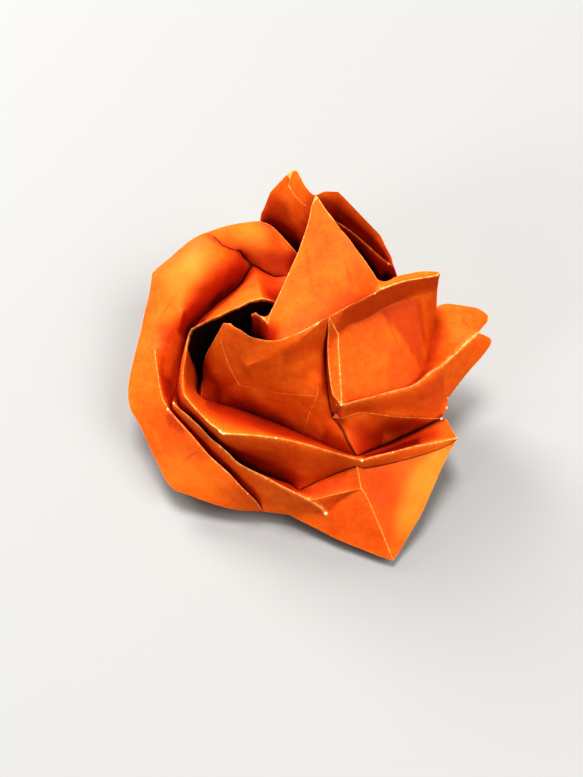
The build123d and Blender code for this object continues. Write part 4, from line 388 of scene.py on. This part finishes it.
def smooth_line(pts, closed=False, step=STEP):
    """The fold line as a curve through its points: straight at junctions and sharp corners, rounded elsewhere."""
    n = len(pts)
    P = [np.array(q, float) for q in pts]
    out = []
    segs = n if closed else n - 1

    def sharp(i):
        if not closed and (i == 0 or i == n - 1):
            return True
        a, b, c = P[(i - 1) % n], P[i % n], P[(i + 1) % n]
        u, v = b - a, c - b
        cosang = float(u @ v / (np.linalg.norm(u) * np.linalg.norm(v) + 1e-12))
        return cosang < 0.93 or count[tuple(pts[i % n])] > 2
    for i in range(segs):
        p1, p2 = P[i], P[(i + 1) % n]
        d = float(np.linalg.norm(p2 - p1))
        t1 = (p2 - p1) if sharp(i) else (p2 - P[(i - 1) % n]) / 2
        t2 = (p2 - p1) if sharp((i + 1) % n if closed else i + 1) else (P[(i + 2) % n] - p1) / 2
        t1 = t1 * min(1.0, d / (np.linalg.norm(t1) + 1e-9))
        t2 = t2 * min(1.0, d / (np.linalg.norm(t2) + 1e-9))
        k = max(1, int(math.ceil(d / step)))
        for s in range(k):
            t = s / k
            h = ((2*t**3 - 3*t**2 + 1) * p1 + (t**3 - 2*t**2 + t) * t1 + (-2*t**3 + 3*t**2) * p2 + (t**3 - t**2) * t2)
            out.append(tuple(float(c) for c in h) if s else tuple(pts[i]))
    if not closed:
        out.append(tuple(pts[-1]))
    return out


V = []            # points of the sheet
index = {}
kind_of = {}      # point: set of kinds of the lines through it


def vid(q, kind):
    key = (round(q[0], 3), round(q[1], 3))
    if key not in index:
        index[key] = len(V)
        V.append(tuple(q))
    kind_of.setdefault(index[key], set()).add(kind)
    return index[key]


fold_edges = {}   # edge: (kind, line)
outline_ids = [vid(q, 'o') for q in smooth_line(OUTLINE, closed=True)]
for a, b in zip(outline_ids, outline_ids[1:] + outline_ids[:1]):
    fold_edges[(min(a, b), max(a, b))] = ('o', 'OUTLINE')
for name, (kind, wear, pts) in LINES.items():
    ids = [vid(q, kind) for q in smooth_line(pts)]
    for a, b in zip(ids, ids[1:]):
        if a != b:
            fold_edges.setdefault((min(a, b), max(a, b)), (kind, name))

# loose points between the folds, on a jittered grid
samples = KDTree(len(V) * 2 + len(fold_edges))
for q in V:
    samples.insert((q[0], q[1], 0), 0)
for (a, b) in fold_edges:
    samples.insert(((V[a][0] + V[b][0]) / 2, (V[a][1] + V[b][1]) / 2, 0), 0)
samples.balance()
outline_xy = np.array([V[i][:2] for i in outline_ids])


def inside(xy):
    x, y = xy[:, 0], xy[:, 1]
    res = np.zeros(len(xy), bool)
    x1, y1 = outline_xy[:, 0], outline_xy[:, 1]
    x2, y2 = np.roll(x1, -1), np.roll(y1, -1)
    for i in range(len(x1)):
        if y1[i] == y2[i]:
            continue
        cond = (y1[i] > y) != (y2[i] > y)
        res ^= cond & (x < (x2[i] - x1[i]) * (y - y1[i]) / (y2[i] - y1[i]) + x1[i])
    return res


lo, hi = outline_xy.min(0), outline_xy.max(0)
rows = []
row = 0
y = lo[1]
while y < hi[1]:
    xs = np.arange(lo[0] + (STEP / 2 if row % 2 else 0), hi[0], STEP)
    rows.append(np.stack([xs, np.full_like(xs, y)], 1))
    y += STEP * 0.866
    row += 1
grid = np.concatenate(rows)
grid += rng.uniform(-0.12, 0.12, grid.shape) * STEP
grid = grid[inside(grid)]
grid = np.array([g for g in grid if samples.find((g[0], g[1], 0))[2] > 0.42 * STEP])
n_line = len(V)
plan = [Vector(q[:2]) for q in V] + [Vector((float(g[0]), float(g[1]))) for g in grid]
vc, ec, fc, ov, oe, of_ = delaunay_2d_cdt(plan, list(fold_edges.keys()), [], 0, 1e-7)
back = {}
extra = []
for i, src in enumerate(ov):
    if src:
        back[i] = src[0]
    else:
        back[i] = len(plan) + len(extra)
        extra.append((vc[i].x, vc[i].y))
if extra:
    print("fold lines cross in plan:", len(extra), extra[:6])
XY = np.array([[q.x, q.y] for q in plan] + [list(e) for e in extra])
tris = []
cent = np.array([[sum(XY[back[i]][0] for i in f) / 3, sum(XY[back[i]][1] for i in f) / 3] for f in fc])
keep = inside(cent)
for f, k in zip(fc, keep):
    if k:
        tris.append([back[i] for i in f])
tris = np.array(tris)

# ---------------------------------------------------------------------------------------------
# heights between the folds: the sheet is drawn tight between them
# ---------------------------------------------------------------------------------------------


def graph(T):
    e = np.concatenate([T[:, [0, 1]], T[:, [1, 2]], T[:, [2, 0]]])
    e = np.concatenate([e, e[:, ::-1]])
    e = np.unique(e, axis=0)
    return e[:, 0], e[:, 1]


Z = np.zeros(len(XY))
Z[:n_line] = [q[2] for q in V]
fixed = np.zeros(len(XY), bool)
fixed[:n_line] = True
ea, eb = graph(tris)
wts = 1.0 / (np.linalg.norm(XY[ea] - XY[eb], axis=1) + 0.05)
deg = np.bincount(ea, wts, len(XY)) + 1e-12
near = KDTree(n_line)
for i, q in enumerate(V):
    near.insert((q[0], q[1], 0), i)
near.balance()
for i in range(n_line, len(XY)):
    Z[i] = V[near.find((XY[i][0], XY[i][1], 0))[1]][2]
for it in range(1500):
    new = np.bincount(ea, wts * Z[eb], len(XY)) / deg
    Z[~fixed] = new[~fixed]
# soft bends give way a little
soft = np.zeros(len(XY), bool)
for i in range(n_line):
    if kind_of[i] <= {'s'}:
        soft[i] = True
free = ~fixed | soft
for it in range(14):
    new = np.bincount(ea, wts * Z[eb], len(XY)) / deg
    Z[free] = Z[free] + 0.6 * (new[free] - Z[free])

pts = [Vector((float(x), float(y), float(z))) for (x, y), z in zip(XY, Z)]

# ---------------------------------------------------------------------------------------------
# outside: petal edges -> outer wall -> square base -> four locking flaps
# ---------------------------------------------------------------------------------------------


def stitch(A, B, cx=0.5, cy=2.0):
    def angles(loop, start):
        r = []
        for k in range(len(loop) + 1):
            q = pts[loop[(start + k) % len(loop)]]
            a = math.atan2(q.y - cy, q.x - cx)
            if r:
                while a < r[-1] - math.pi:
                    a += 2 * math.pi
                while a > r[-1] + math.pi:
                    a -= 2 * math.pi
            r.append(a)
        return r
    a0 = math.atan2(pts[A[0]].y - cy, pts[A[0]].x - cx)
    sb = min(range(len(B)), key=lambda k: abs((math.atan2(pts[B[k]].y - cy, pts[B[k]].x - cx) - a0 + math.pi) % (2 * math.pi) - math.pi))
    ra, rb = angles(A, 0), angles(B, sb)
    while rb[0] - ra[0] > math.pi:
        rb = [r - 2 * math.pi for r in rb]
    while rb[0] - ra[0] < -math.pi:
        rb = [r + 2 * math.pi for r in rb]
    i = j = 0
    nA, nB = len(A), len(B)
    T = []
    while i < nA or j < nB:
        if j >= nB or (i < nA and ra[i] + ra[i + 1] <= rb[j] + rb[j + 1]):
            T.append((A[(i + 1) % nA], A[i % nA], B[(sb + j) % nB]))
            i += 1
        else:
            T.append((A[i % nA], B[(sb + j) % nB], B[(sb + j + 1) % nB]))
            j += 1
    return T


faces = [tuple(int(i) for i in t) for t in tris]
loop = list(reversed(outline_ids))
wall_ids = []
n = len(OUTER_WALL)
for k in range(n):
    a, b = OUTER_WALL[k], OUTER_WALL[(k + 1) % n]
    for s in range(3):
        t = s / 3
        wall_ids.append(len(pts))
        pts.append(Vector([a[c] + t * (b[c] - a[c]) for c in range(3)]))
base_ids = []
corner = []
for k in range(4):
    a, b = BASE[k], BASE[(k + 1) % 4]
    for s in range(12):
        t = s / 12
        base_ids.append(len(pts))
        pts.append(Vector((a[0] + t * (b[0] - a[0]), a[1] + t * (b[1] - a[1]), 0.0)))
faces += stitch(loop, wall_ids)
faces += stitch(wall_ids, base_ids)
for k in range(4):
    side = [base_ids[(k * 12 + s) % len(base_ids)] for s in range(13)]
    mid = sum((pts[i] for i in side), Vector()) / len(side)
    d = (mid - Vector((SLIT[0], SLIT[1], 0))).normalized()
    tip = len(pts)
    pts.append(Vector((SLIT[0], SLIT[1], 0)) + d * 1.0)
    for a, b in zip(side, side[1:]):
        faces.append((b, a, tip))
for a, b in zip(base_ids, base_ids[1:] + base_ids[:1]):
    fold_edges[(min(a, b), max(a, b))] = ('m', 'BASE')

# ---------------------------------------------------------------------------------------------
# one mesh; long edges on the steep faces are split, then the loose points settle between the folds
# ---------------------------------------------------------------------------------------------
bm = bmesh.new()
bv = [bm.verts.new(q) for q in pts]
bm.verts.ensure_lookup_table()
for f in faces:
    if len(set(f)) == 3:
        bm.faces.new([bv[i] for i in f])
bm.edges.ensure_lookup_table()
fold = bm.edges.layers.int.new("fold")       # 1 mountain, 2 valley, 3 soft, 4 petal edge
code = {'m': 1, 'v': 2, 's': 3, 'o': 4}
for (a, b), (kind, name) in fold_edges.items():
    e = bm.edges.get((bv[a], bv[b]))
    if e:
        e[fold] = code[kind]
for v in [v for v in bm.verts if not v.link_faces]:
    bm.verts.remove(v)
for limit in (2.4, 1.5, 1.1):
    long_edges = [e for e in bm.edges if e.calc_length() > limit]
    bmesh.ops.subdivide_edges(bm, edges=long_edges, cuts=1)
    bmesh.ops.triangulate(bm, faces=[f for f in bm.faces if len(f.verts) > 3])
    loose = [e for e in bm.edges if e[fold] == 0 and len(e.link_faces) == 2]
    bmesh.ops.beautify_fill(bm, faces=bm.faces[:], edges=loose, method='ANGLE')
bm.verts.ensure_lookup_table()
bm.edges.ensure_lookup_table()
bm.faces.ensure_lookup_table()
for i, v in enumerate(bm.verts):
    v.index = i
X = np.array([v.co[:] for v in bm.verts])
E = np.array([[e.verts[0].index, e.verts[1].index] for e in bm.edges])
EK = np.array([e[fold] for e in bm.edges])
pinned = np.zeros(len(X), bool)
for k in (1, 2, 4):
    pinned[np.unique(E[EK == k])] = True
for e in bm.edges:
    if len(e.link_faces) < 2:
        for v in e.verts:
            pinned[v.index] = True
pinned |= X[:, 2] < 1e-4
a2 = np.concatenate([E[:, 0], E[:, 1]])
b2 = np.concatenate([E[:, 1], E[:, 0]])
degree = np.bincount(a2, minlength=len(X)).astype(float)


def relax(X, times, amount):
    for _ in range(times):
        avg = np.stack([np.bincount(a2, X[b2, c], len(X)) for c in range(3)], 1) / degree[:, None]
        X = np.where(pinned[:, None], X, X + amount * (avg - X))
    return X


X = relax(X, 10, 0.5)
tri_idx = np.array([[v.index for v in f.verts] for f in bm.faces])


def vertex_normals(X):
    fn = np.cross(X[tri_idx[:, 1]] - X[tri_idx[:, 0]], X[tri_idx[:, 2]] - X[tri_idx[:, 0]])
    nn = np.stack([sum(np.bincount(tri_idx[:, k], fn[:, c], len(X)) for k in range(3)) for c in range(3)], 1)
    return nn / (np.linalg.norm(nn, axis=1)[:, None] + 1e-12)


# paper is never quite flat: slow waves and small cockles between the folds, fading out at the folds
N = vertex_normals(X)
to_fold = np.full(len(X), 1e9)
kd = KDTree(int(pinned.sum()))
for i in np.nonzero(pinned)[0]:
    kd.insert(X[i], int(i))
kd.balance()
to_fold = np.array([kd.find(x)[2] for x in X])
fade = np.clip(to_fold / 2.2, 0, 1) ** 0.8
wave = np.array([noise.noise(Vector(x) * 0.16 + Vector((3.1, 7.7, 1.3))) for x in X])
cockle = np.array([noise.noise(Vector(x) * 0.45 + Vector((9.1, 2.2, 5.3))) for x in X])
fine = np.array([noise.noise(Vector(x) * 1.1 + Vector((1.7, 4.9, 8.8))) for x in X])
X = X + N * (fade * (0.17 * wave + 0.11 * cockle) + np.clip(to_fold / 0.8, 0, 1) * 0.028 * fine)[:, None]

for v, x in zip(bm.verts, X):
    v.co = Vector(x)

# --------------------------------------------------------------------------------------------- distance to the rubbed folds, which carry real wear and a painted highlight, kept in three channels so that neighbouring folds stay apart
# distance to the rubbed folds, kept in three channels so that neighbouring folds stay apart
# ---------------------------------------------------------------------------------------------
CHANNEL = {'spiral_rim': 0, 'bud_rim': 1, 'roll_lower_rim': 1, 'tuck_flap_rim': 2, 'right_petal_rim': 1, 'tall_petal_left': 2, 'tall_petal_right': 0, 'pleated_petal_front': 2, 'pleat_edge': 2, 'roll_back_edge': 1, 'front_petal_crease': 1, 'front_petal_pleat': 0, 'bud_rim_back': 2, 'inner_tuck': 0, 'bud_wall_edge': 2, 'spiral_wall_ridge': 2, 'right_petal_end': 0, 'front_step': 1, 'bud_wall_crease': 0, 'bud_wall_crease_low': 2, 'bud_wall_crease_right': 1, 'back_petal_crease': 0, 'right_petal_foot': 0, 'pleat_strip_edge': 0, 'left_petal_ridge_end': 0}
CRACK = {'roll_crack': 1.30, 'roll_valley_right': -1.50, 'pleat_valley': 0.90, 'pleated_petal_valley': 0.60, 'back_petal_valley': 0.60, 'roll_gap': 1.10, 'roll_pinch': 0.45, 'tuck_flap_valley': 0.60, 'right_petal_end': 0.70, 'inner_tuck_left': 0.50, 'roll_valley_left': -1.60, 'spiral_valley_right': 2.60, 'front_petal_valley': -0.85, 'bud_hole_floor': 0.80, 'bud_hole_branch': 0.80, 'roll_top_crease': 0.50}
BAND = 'bud_rim_foot'
PIT_FLOOR = 'bud_hole_floor'
PIT_STOP = ['bud_hole_branch', 'spiral_valley', 'tall_petal_valley']
PIT_X = (-16.8, -3.5)
dist = np.full((3, len(X)), 50.0)
for ch in range(3):
    segs = []
    for name, (kind, wear, lp) in LINES.items():
        if wear > 0 and CHANNEL.get(name, 0) == ch:
            sm = smooth_line(lp, step=0.4)
            segs += [(q, wear) for q in sm]
    if ch == 0:
        segs += [(q, 0.15) for q in smooth_line(OUTLINE, closed=True, step=0.4)]
    if not segs:
        continue
    k = KDTree(len(segs))
    for i, (q, w) in enumerate(segs):
        k.insert(q, i)
    k.balance()
    for i, x in enumerate(X):
        co, j, d = k.find(x)
        # distance across the fold line, not to the sample point
        best = d
        dist[ch, i] = max(0.0, best) / segs[j][1]
        if d < 0.32:
            dist[ch, i] = max(0.0, math.sqrt(max(0.0, d * d - 0.04))) / segs[j][1]

# how closed in each point is by the folds around it: share of the half space over it that is free; it sets the painted
# shade
rays = []
for k in range(36):
    h = math.sqrt((k + 0.5) / 36)
    r = math.sqrt(1 - h * h)
    a = k * 2.39996323
    rays.append(Vector((r * math.cos(a), r * math.sin(a), h)))
bm.normal_update()
tree = BVHTree.FromBMesh(bm)
depth = np.ones(len(X))
for v in bm.verts:
    turn = v.normal.to_track_quat('Z', 'Y')
    start = v.co + v.normal * 0.15
    seen = 0
    for d in rays:
        if tree.ray_cast(start, turn @ d, 15.0)[0] is None:
            seen += 1
    depth[v.index] = seen / len(rays)
for _ in range(2):
    avg = np.bincount(a2, depth[b2], len(X)) / degree
    depth = 0.5 * depth + 0.5 * avg

# distance to the narrow cracks between layers that lie on each other, where painted shade goes to black; a crack opens
# slowly from its first end, or closes from there where its value is negative
crack = np.full(len(X), 50.0)
segs = []
for name, (kind, wear, lp) in LINES.items():
    if name in CRACK:
        sm = smooth_line(lp, step=0.3)
        w = CRACK[name]
        segs += [(q, w * (0.35 + 0.65 * min(1.0, 2.0 * n / len(sm))) if w > 0 else -w * (1.0 - 0.75 * n / len(sm))) for n, q in enumerate(sm)]
k = KDTree(len(segs))
for i, (q, w) in enumerate(segs):
    k.insert(q, i)
k.balance()
for i, x in enumerate(X):
    co, j, d = k.find(x)
    crack[i] = d / segs[j][1]

# painted shadow: the deep pit between the inner strip and the bud is painted black, everything reached from its bottom
# without crossing a rim
pit = np.zeros(len(X))
floor_line = smooth_line(LINES[PIT_FLOOR][2], step=0.3)
floor_part = [q for q in floor_line if PIT_X[0] < q[0] < PIT_X[1]]
stop_line = smooth_line(LINES[PIT_STOP[0]][2], step=0.1)[4:]
for name in PIT_STOP[1:]:
    stop_line += smooth_line(LINES[name][2], step=0.1)
stops = KDTree(len(stop_line))
for q in stop_line:
    stops.insert(q, 0)
stops.balance()
blocked = np.zeros(len(X), bool)
for kk in (1, 4):
    blocked[np.unique(E[EK == kk])] = True
bottom = KDTree(len(floor_part))
for q in floor_part:
    bottom.insert((q[0], q[1], 0), 0)
bottom.balance()
todo = []
for i, x in enumerate(X):
    if stops.find(x)[2] < 0.1:
        blocked[i] = True
    elif not blocked[i] and bottom.find((x[0], x[1], 0))[2] < 0.12 and x[2] < 12:
        todo.append(i)
nbr = [[] for _ in X]
for a, b in E:
    nbr[a].append(b)
    nbr[b].append(a)
seen_v = set(todo)
while todo:
    i = todo.pop()
    d = bottom.find((X[i][0], X[i][1], 0))[2]
    pit[i] = float(np.clip((3.8 - d) / 1.3, 0, 1))
    if d > 3.8 or blocked[i]:
        continue
    for q in nbr[i]:
        if q not in seen_v:
            seen_v.add(q)
            todo.append(q)
for i in np.nonzero(blocked)[0]:
    pit[i] = 0.35 * pit[i]
pit = pit * np.clip((X[:, 1] + 0.4) / 1.4, 0, 1)
# the back of the bud's wall, which looks away from the hole's mouth, is painted black only deep down
back = np.array([v.normal.y for v in bm.verts])
pit = pit * np.maximum(np.clip((9.0 - X[:, 2]) / 3.0, 0, 1), np.clip((0.15 - back) / 0.3, 0, 1))

# painted shadow on the steep strip under the rim of the front right petal
painted_shade = np.zeros(len(X))
low_line = smooth_line(LINES[BAND][2], step=0.2)
k = KDTree(len(low_line))
for i, q in enumerate(low_line):
    k.insert((q[0], q[1], 0), i)
k.balance()
for i, x in enumerate(X):
    co, j, d = k.find((x[0], x[1], 0))
    rise = x[2] - low_line[j][2]
    if d < 0.75 and rise > -0.4 and x[1] > co[1] - 0.35:
        painted_shade[i] = 0.50 * np.clip((rise + 0.4) / 0.8, 0, 1) * np.clip((0.75 - d) / 0.15, 0, 1)


def inside(corners, soft, low):
    """1 inside a polygon seen from above, 0 outside, soft at its border"""
    a = np.array(corners)
    b = np.roll(a, -1, axis=0)
    near = np.full(len(X), 1e9)
    turns = np.zeros(len(X), bool)
    for p, q in zip(a, b):
        d = q - p
        r = X[:, :2] - p
        s = np.clip((r @ d) / (d @ d), 0, 1)
        near = np.minimum(near, np.hypot(*(r - s[:, None] * d).T))
        span = (p[1] > X[:, 1]) != (q[1] > X[:, 1])
        cut = p[0] + d[0] * (X[:, 1] - p[1]) / (d[1] if d[1] else 1e-9)
        turns ^= span & (X[:, 0] < cut)
    return np.clip(0.5 + np.where(turns, near, -near) / soft, 0, 1) * (X[:, 2] > low)


# painted shade: the patches are added to the painted shadow under the rim
for (amount, soft, low, corners) in PAINTED_SHADE_PATCHES:
    painted_shade = np.maximum(painted_shade, amount * inside(corners, soft, low))
# painted light: inside these places the painted shade and the black pit are lifted
for (least, soft, low, corners) in LIT:
    w = inside(corners, soft, low)
    depth = np.maximum(depth, least * w)
    pit = pit * (1 - w)

me = bpy.data.meshes.new("folded_sheet_skin")
bm.to_mesh(me)
bm.free()
for nm, val in (("openness", depth), ("crack", crack), ("pit", pit), ("painted_shade", painted_shade)):
    at = me.attributes.new(nm, 'FLOAT', 'POINT')
    at.data.foreach_set("value", val.astype(np.float32))
for ch in range(3):
    at = me.attributes.new("fold_%d" % ch, 'FLOAT', 'POINT')
    at.data.foreach_set("value", dist[ch].astype(np.float32))
rose = bpy.data.objects.new("rose_sheet", me)
bpy.context.scene.collection.objects.link(rose)
# millimetres to metres, resting on the floor like the part
co = np.empty(len(me.vertices) * 3)
me.vertices.foreach_get("co", co)
co = co.reshape(-1, 3)
co[:, 2] += PAPER_T / 2
me.vertices.foreach_set("co", (co * 0.001).ravel())
me.update()

solid = rose.modifiers.new("paper", 'SOLIDIFY')
solid.thickness = PAPER_T * 0.001
solid.offset = 0.0
solid.use_even_offset = False
solid.use_rim = True
dg = bpy.context.evaluated_depsgraph_get()
done = bpy.data.meshes.new_from_object(rose.evaluated_get(dg))
rose.modifiers.clear()
rose.data = done
done.name = "rose_sheet"
for p in done.polygons:
    p.use_smooth = True
done.set_sharp_from_angle(angle=math.radians(32))
print("sheet: vertices", len(done.vertices), "faces", len(done.polygons))

# ---------------------------------------------------------------------------------------------
# paper: orange on both sides, mottled, with the white core showing where folds are rubbed, and with painted shade,
# shadow and highlights
# ---------------------------------------------------------------------------------------------
mat = bpy.data.materials.new("orange_paper")
mat.use_nodes = True
nt = mat.node_tree
nt.nodes.clear()


def node(kind, **props):
    nd = nt.nodes.new(kind)
    for k, v in props.items():
        setattr(nd, k, v)
    return nd


def link(a, b):
    nt.links.new(a, b)


def math_node(op, a, b=None, clamp=False):
    nd = node('ShaderNodeMath', operation=op, use_clamp=clamp)
    for k, s in enumerate((a, b)):
        if s is None:
            continue
        if isinstance(s, (int, float)):
            nd.inputs[k].default_value = s
        else:
            link(s, nd.inputs[k])
    return nd.outputs[0]


def ramp(value, lo, hi, out_lo=0.0, out_hi=1.0):
    nd = node('ShaderNodeMapRange', interpolation_type='SMOOTHSTEP')
    link(value, nd.inputs['Value'])
    nd.inputs['From Min'].default_value = lo
    nd.inputs['From Max'].default_value = hi
    nd.inputs['To Min'].default_value = out_lo
    nd.inputs['To Max'].default_value = out_hi
    return nd.outputs['Result']


def mix(fac, a, b, blend='MIX'):
    nd = node('ShaderNodeMix', data_type='RGBA', blend_type=blend)
    if isinstance(fac, (int, float)):
        nd.inputs[0].default_value = fac
    else:
        link(fac, nd.inputs[0])
    for k, s in ((6, a), (7, b)):
        if isinstance(s, tuple):
            nd.inputs[k].default_value = s
        else:
            link(s, nd.inputs[k])
    return nd.outputs[2]


out = node('ShaderNodeOutputMaterial')
bsdf = node('ShaderNodeBsdfPrincipled')
link(bsdf.outputs[0], out.inputs['Surface'])
tc = node('ShaderNodeTexCoord')
mm = node('ShaderNodeVectorMath', operation='SCALE')
link(tc.outputs['Object'], mm.inputs[0])
mm.inputs['Scale'].default_value = 1000.0
pos = mm.outputs[0]


def tex(scale, detail=4.0, rough=0.55, dims=None):
    nd = node('ShaderNodeTexNoise')
    link(pos if dims is None else dims, nd.inputs['Vector'])
    nd.inputs['Scale'].default_value = scale
    nd.inputs['Detail'].default_value = detail
    nd.inputs['Roughness'].default_value = rough
    return nd.outputs['Fac']


clouds = tex(0.22, 3.0)
blot = tex(0.85, 5.0, 0.62)
grain = tex(5.5, 3.0, 0.6)
long = node('ShaderNodeVectorMath', operation='MULTIPLY')
link(pos, long.inputs[0])
long.inputs[1].default_value = (1.2, 4.5, 4.5)
fibre = tex(1.6, 4.0, 0.65, long.outputs[0])
orange = mix(ramp(clouds, 0.30, 0.70), DEEP, WARM)
orange = mix(ramp(blot, 0.42, 0.66, 0.0, 0.20), orange, PALE)
orange = mix(ramp(blot, 0.30, 0.46, 0.22, 0.0), orange, DARK)
orange = mix(ramp(grain, 0.35, 0.68, 0.0, 0.18), orange, PALE)
orange = mix(ramp(fibre, 0.50, 0.72, 0.0, 0.32), orange, DARK)
orange = mix(ramp(fibre, 0.28, 0.46, 0.22, 0.0), orange, PALE)

# painted highlights: paler patches for sheen and brightly lit faces
for (x, y, z, r, amount) in PAINTED_HIGHLIGHTS:
    dn = node('ShaderNodeVectorMath', operation='DISTANCE')
    link(pos, dn.inputs[0])
    dn.inputs[1].default_value = (x, y, z)
    near = math_node('ADD', math_node('DIVIDE', dn.outputs['Value'], r), math_node('MULTIPLY', math_node('SUBTRACT', blot, 0.5), 0.5))
    orange = mix(ramp(near, 0.15, 1.0, amount, 0.0), orange, HIGHLIGHT_TINT)

# painted shade: darker red, then near black, where the folds close a point in
open_at = node('ShaderNodeAttribute', attribute_name="openness")
orange = mix(ramp(open_at.outputs['Fac'], 0.30, 0.88, 0.92, 0.0), orange, SHADED)
orange = mix(ramp(open_at.outputs['Fac'], 0.10, 0.30, 0.90, 0.0), orange, SHADOW_BLACK)
# painted shade and shadow from the rim strip and the shade patches; above 1 it goes on to black
painted_shade_at = node('ShaderNodeAttribute', attribute_name="painted_shade")
orange = mix(math_node('ADD', painted_shade_at.outputs['Fac'], 0.0, clamp=True), orange, SHADED)
orange = mix(math_node('SUBTRACT', painted_shade_at.outputs['Fac'], 1.0, clamp=True), orange, SHADOW_BLACK)
# painted shadow: the pit is painted black
pit_at = node('ShaderNodeAttribute', attribute_name="pit")
orange = mix(ramp(pit_at.outputs['Fac'], 0.30, 0.75, 0.0, 1.0), orange, SHADOW_BLACK)
# painted shade: near black along the narrow cracks
crack_at = node('ShaderNodeAttribute', attribute_name="crack")
orange = mix(ramp(crack_at.outputs['Fac'], 0.04, 0.50, 0.80, 0.0), orange, SHADOW_BLACK)

# fine creases: distance to short lines
crease = None
for (p0, p1, width) in CREASES:
    d = Vector(p1) - Vector(p0)
    rel = node('ShaderNodeVectorMath', operation='SUBTRACT')
    link(pos, rel.inputs[0])
    rel.inputs[1].default_value = p0
    dot = node('ShaderNodeVectorMath', operation='DOT_PRODUCT')
    link(rel.outputs[0], dot.inputs[0])
    dot.inputs[1].default_value = tuple(d / d.length_squared)
    along = node('ShaderNodeVectorMath', operation='SCALE')
    along.inputs[0].default_value = tuple(d)
    link(math_node('ADD', dot.outputs['Value'], 0.0, clamp=True), along.inputs['Scale'])
    far = node('ShaderNodeVectorMath', operation='DISTANCE')
    link(rel.outputs[0], far.inputs[0])
    link(along.outputs[0], far.inputs[1])
    taper = math_node('MULTIPLY', math_node('ABSOLUTE', math_node('SUBTRACT', dot.outputs['Value'], 0.5)), 1.2)
    c = math_node('ADD', math_node('DIVIDE', far.outputs['Value'], width), taper)
    crease = c if crease is None else math_node('MINIMUM', crease, c)
crease_depth = ramp(crease, 0.0, 1.0, 1.0, 0.0)
# painted shade along the fine creases, on top of their bump
orange = mix(ramp(crease, 0.0, 1.6, 0.24, 0.0), orange, SHADED)

# rubbed folds: worn to the white core, with a painted highlight along each fold
fold_d = None
for ch in range(3):
    at = node('ShaderNodeAttribute', attribute_name="fold_%d" % ch)
    fold_d = at.outputs['Fac'] if fold_d is None else math_node('MINIMUM', fold_d, at.outputs['Fac'])
rub_noise = tex(1.3, 4.0, 0.65)
edge = math_node('SUBTRACT', fold_d, math_node('MULTIPLY', math_node('SUBTRACT', rub_noise, 0.48), 0.60))
rub = ramp(edge, 0.01, 0.14, 0.55, 0.0)
rim_highlight = ramp(edge, 0.05, 0.45, 0.66, 0.0)
colour = mix(rim_highlight, orange, PALE)
colour = mix(rub, colour, CORE)
# fold corners worn through
spot = None
for (x, y, z, r) in SPOTS:
    dn = node('ShaderNodeVectorMath', operation='DISTANCE')
    link(pos, dn.inputs[0])
    dn.inputs[1].default_value = (x, y, z + PAPER_T / 2)
    s = math_node('DIVIDE', dn.outputs['Value'], r)
    spot = s if spot is None else math_node('MINIMUM', spot, s)
spot_noise = tex(2.6, 3.0, 0.6)
spot = math_node('ADD', spot, math_node('MULTIPLY', math_node('SUBTRACT', spot_noise, 0.5), 1.3))
colour = mix(ramp(spot, 0.65, 1.05, 0.95, 0.0), colour, WHITE)
link(colour, bsdf.inputs['Base Color'])
link(ramp(blot, 0.3, 0.7, 0.52, 0.66), bsdf.inputs['Roughness'])
bsdf.inputs['Specular IOR Level'].default_value = 0.12
bump = node('ShaderNodeBump')
bump.inputs['Strength'].default_value = 0.42
bump.inputs['Distance'].default_value = 0.00012
rough_h = math_node('ADD', math_node('MULTIPLY', grain, 0.6), math_node('MULTIPLY', blot, 0.9))
link(math_node('SUBTRACT', rough_h, math_node('MULTIPLY', crease_depth, 1.6)), bump.inputs['Height'])
link(bump.outputs['Normal'], bsdf.inputs['Normal'])
done.materials.clear()
done.materials.append(mat)

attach(rose, "root")
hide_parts("folded_sheet")

# ---------------------------------------------------------------------------------------------
# floor, light, camera
# ---------------------------------------------------------------------------------------------
fme = bpy.data.meshes.new("floor")
fme.from_pydata([(-6, -6, 0), (6, -6, 0), (6, 6, 0), (-6, 6, 0)], [], [(0, 1, 2, 3)])
floor = bpy.data.objects.new("floor", fme)
bpy.context.scene.collection.objects.link(floor)
fmat = bpy.data.materials.new("pale_floor")
fmat.use_nodes = True
fb = fmat.node_tree.nodes["Principled BSDF"]
fb.inputs['Base Color'].default_value = FLOOR
fb.inputs['Roughness'].default_value = 0.75
fme.materials.append(fmat)


def area_light(name, azimuth, elevation, distance, size, power, colour=(1, 1, 1)):
    a, e = math.radians(azimuth), math.radians(elevation)
    loc = Vector((math.sin(a) * math.cos(e), -math.cos(a) * math.cos(e), math.sin(e))) * distance
    lamp = bpy.data.lights.new(name, 'AREA')
    lamp.shape = 'DISK'
    lamp.size = size
    lamp.energy = power
    lamp.color = colour
    ob = bpy.data.objects.new(name, lamp)
    ob.location = loc
    ob.rotation_euler = (Vector((0, 0, 0.01)) - loc).to_track_quat('-Z', 'Y').to_euler()
    bpy.context.scene.collection.objects.link(ob)
    return ob


for (nm, az, el, dist_m, size_m, power) in LIGHTS:
    area_light(nm, az, el, dist_m, size_m, power)
world = bpy.data.worlds.new("studio")
bpy.context.scene.world = world
world.use_nodes = True
bg = world.node_tree.nodes["Background"]
bg.inputs[0].default_value = (1.0, 1.0, 1.0, 1.0)
bg.inputs[1].default_value = AMBIENT

cam = bpy.data.cameras.new("camera")
cam.sensor_fit = 'AUTO'
cam.sensor_width = 36.0
cam.angle = 2 * math.atan(777 / 2 / 1128.0)
cam.clip_start = 0.01
camera = bpy.data.objects.new("camera", cam)
camera.location = (-0.001462, -0.092308, 0.170718)
camera.rotation_euler = (math.radians(30.000), 0, 0)
bpy.context.scene.collection.objects.link(camera)
bpy.context.scene.camera = camera
vs = bpy.context.scene.view_settings
vs.view_transform = 'Standard'
vs.look = 'High Contrast'
vs.exposure = 0.85
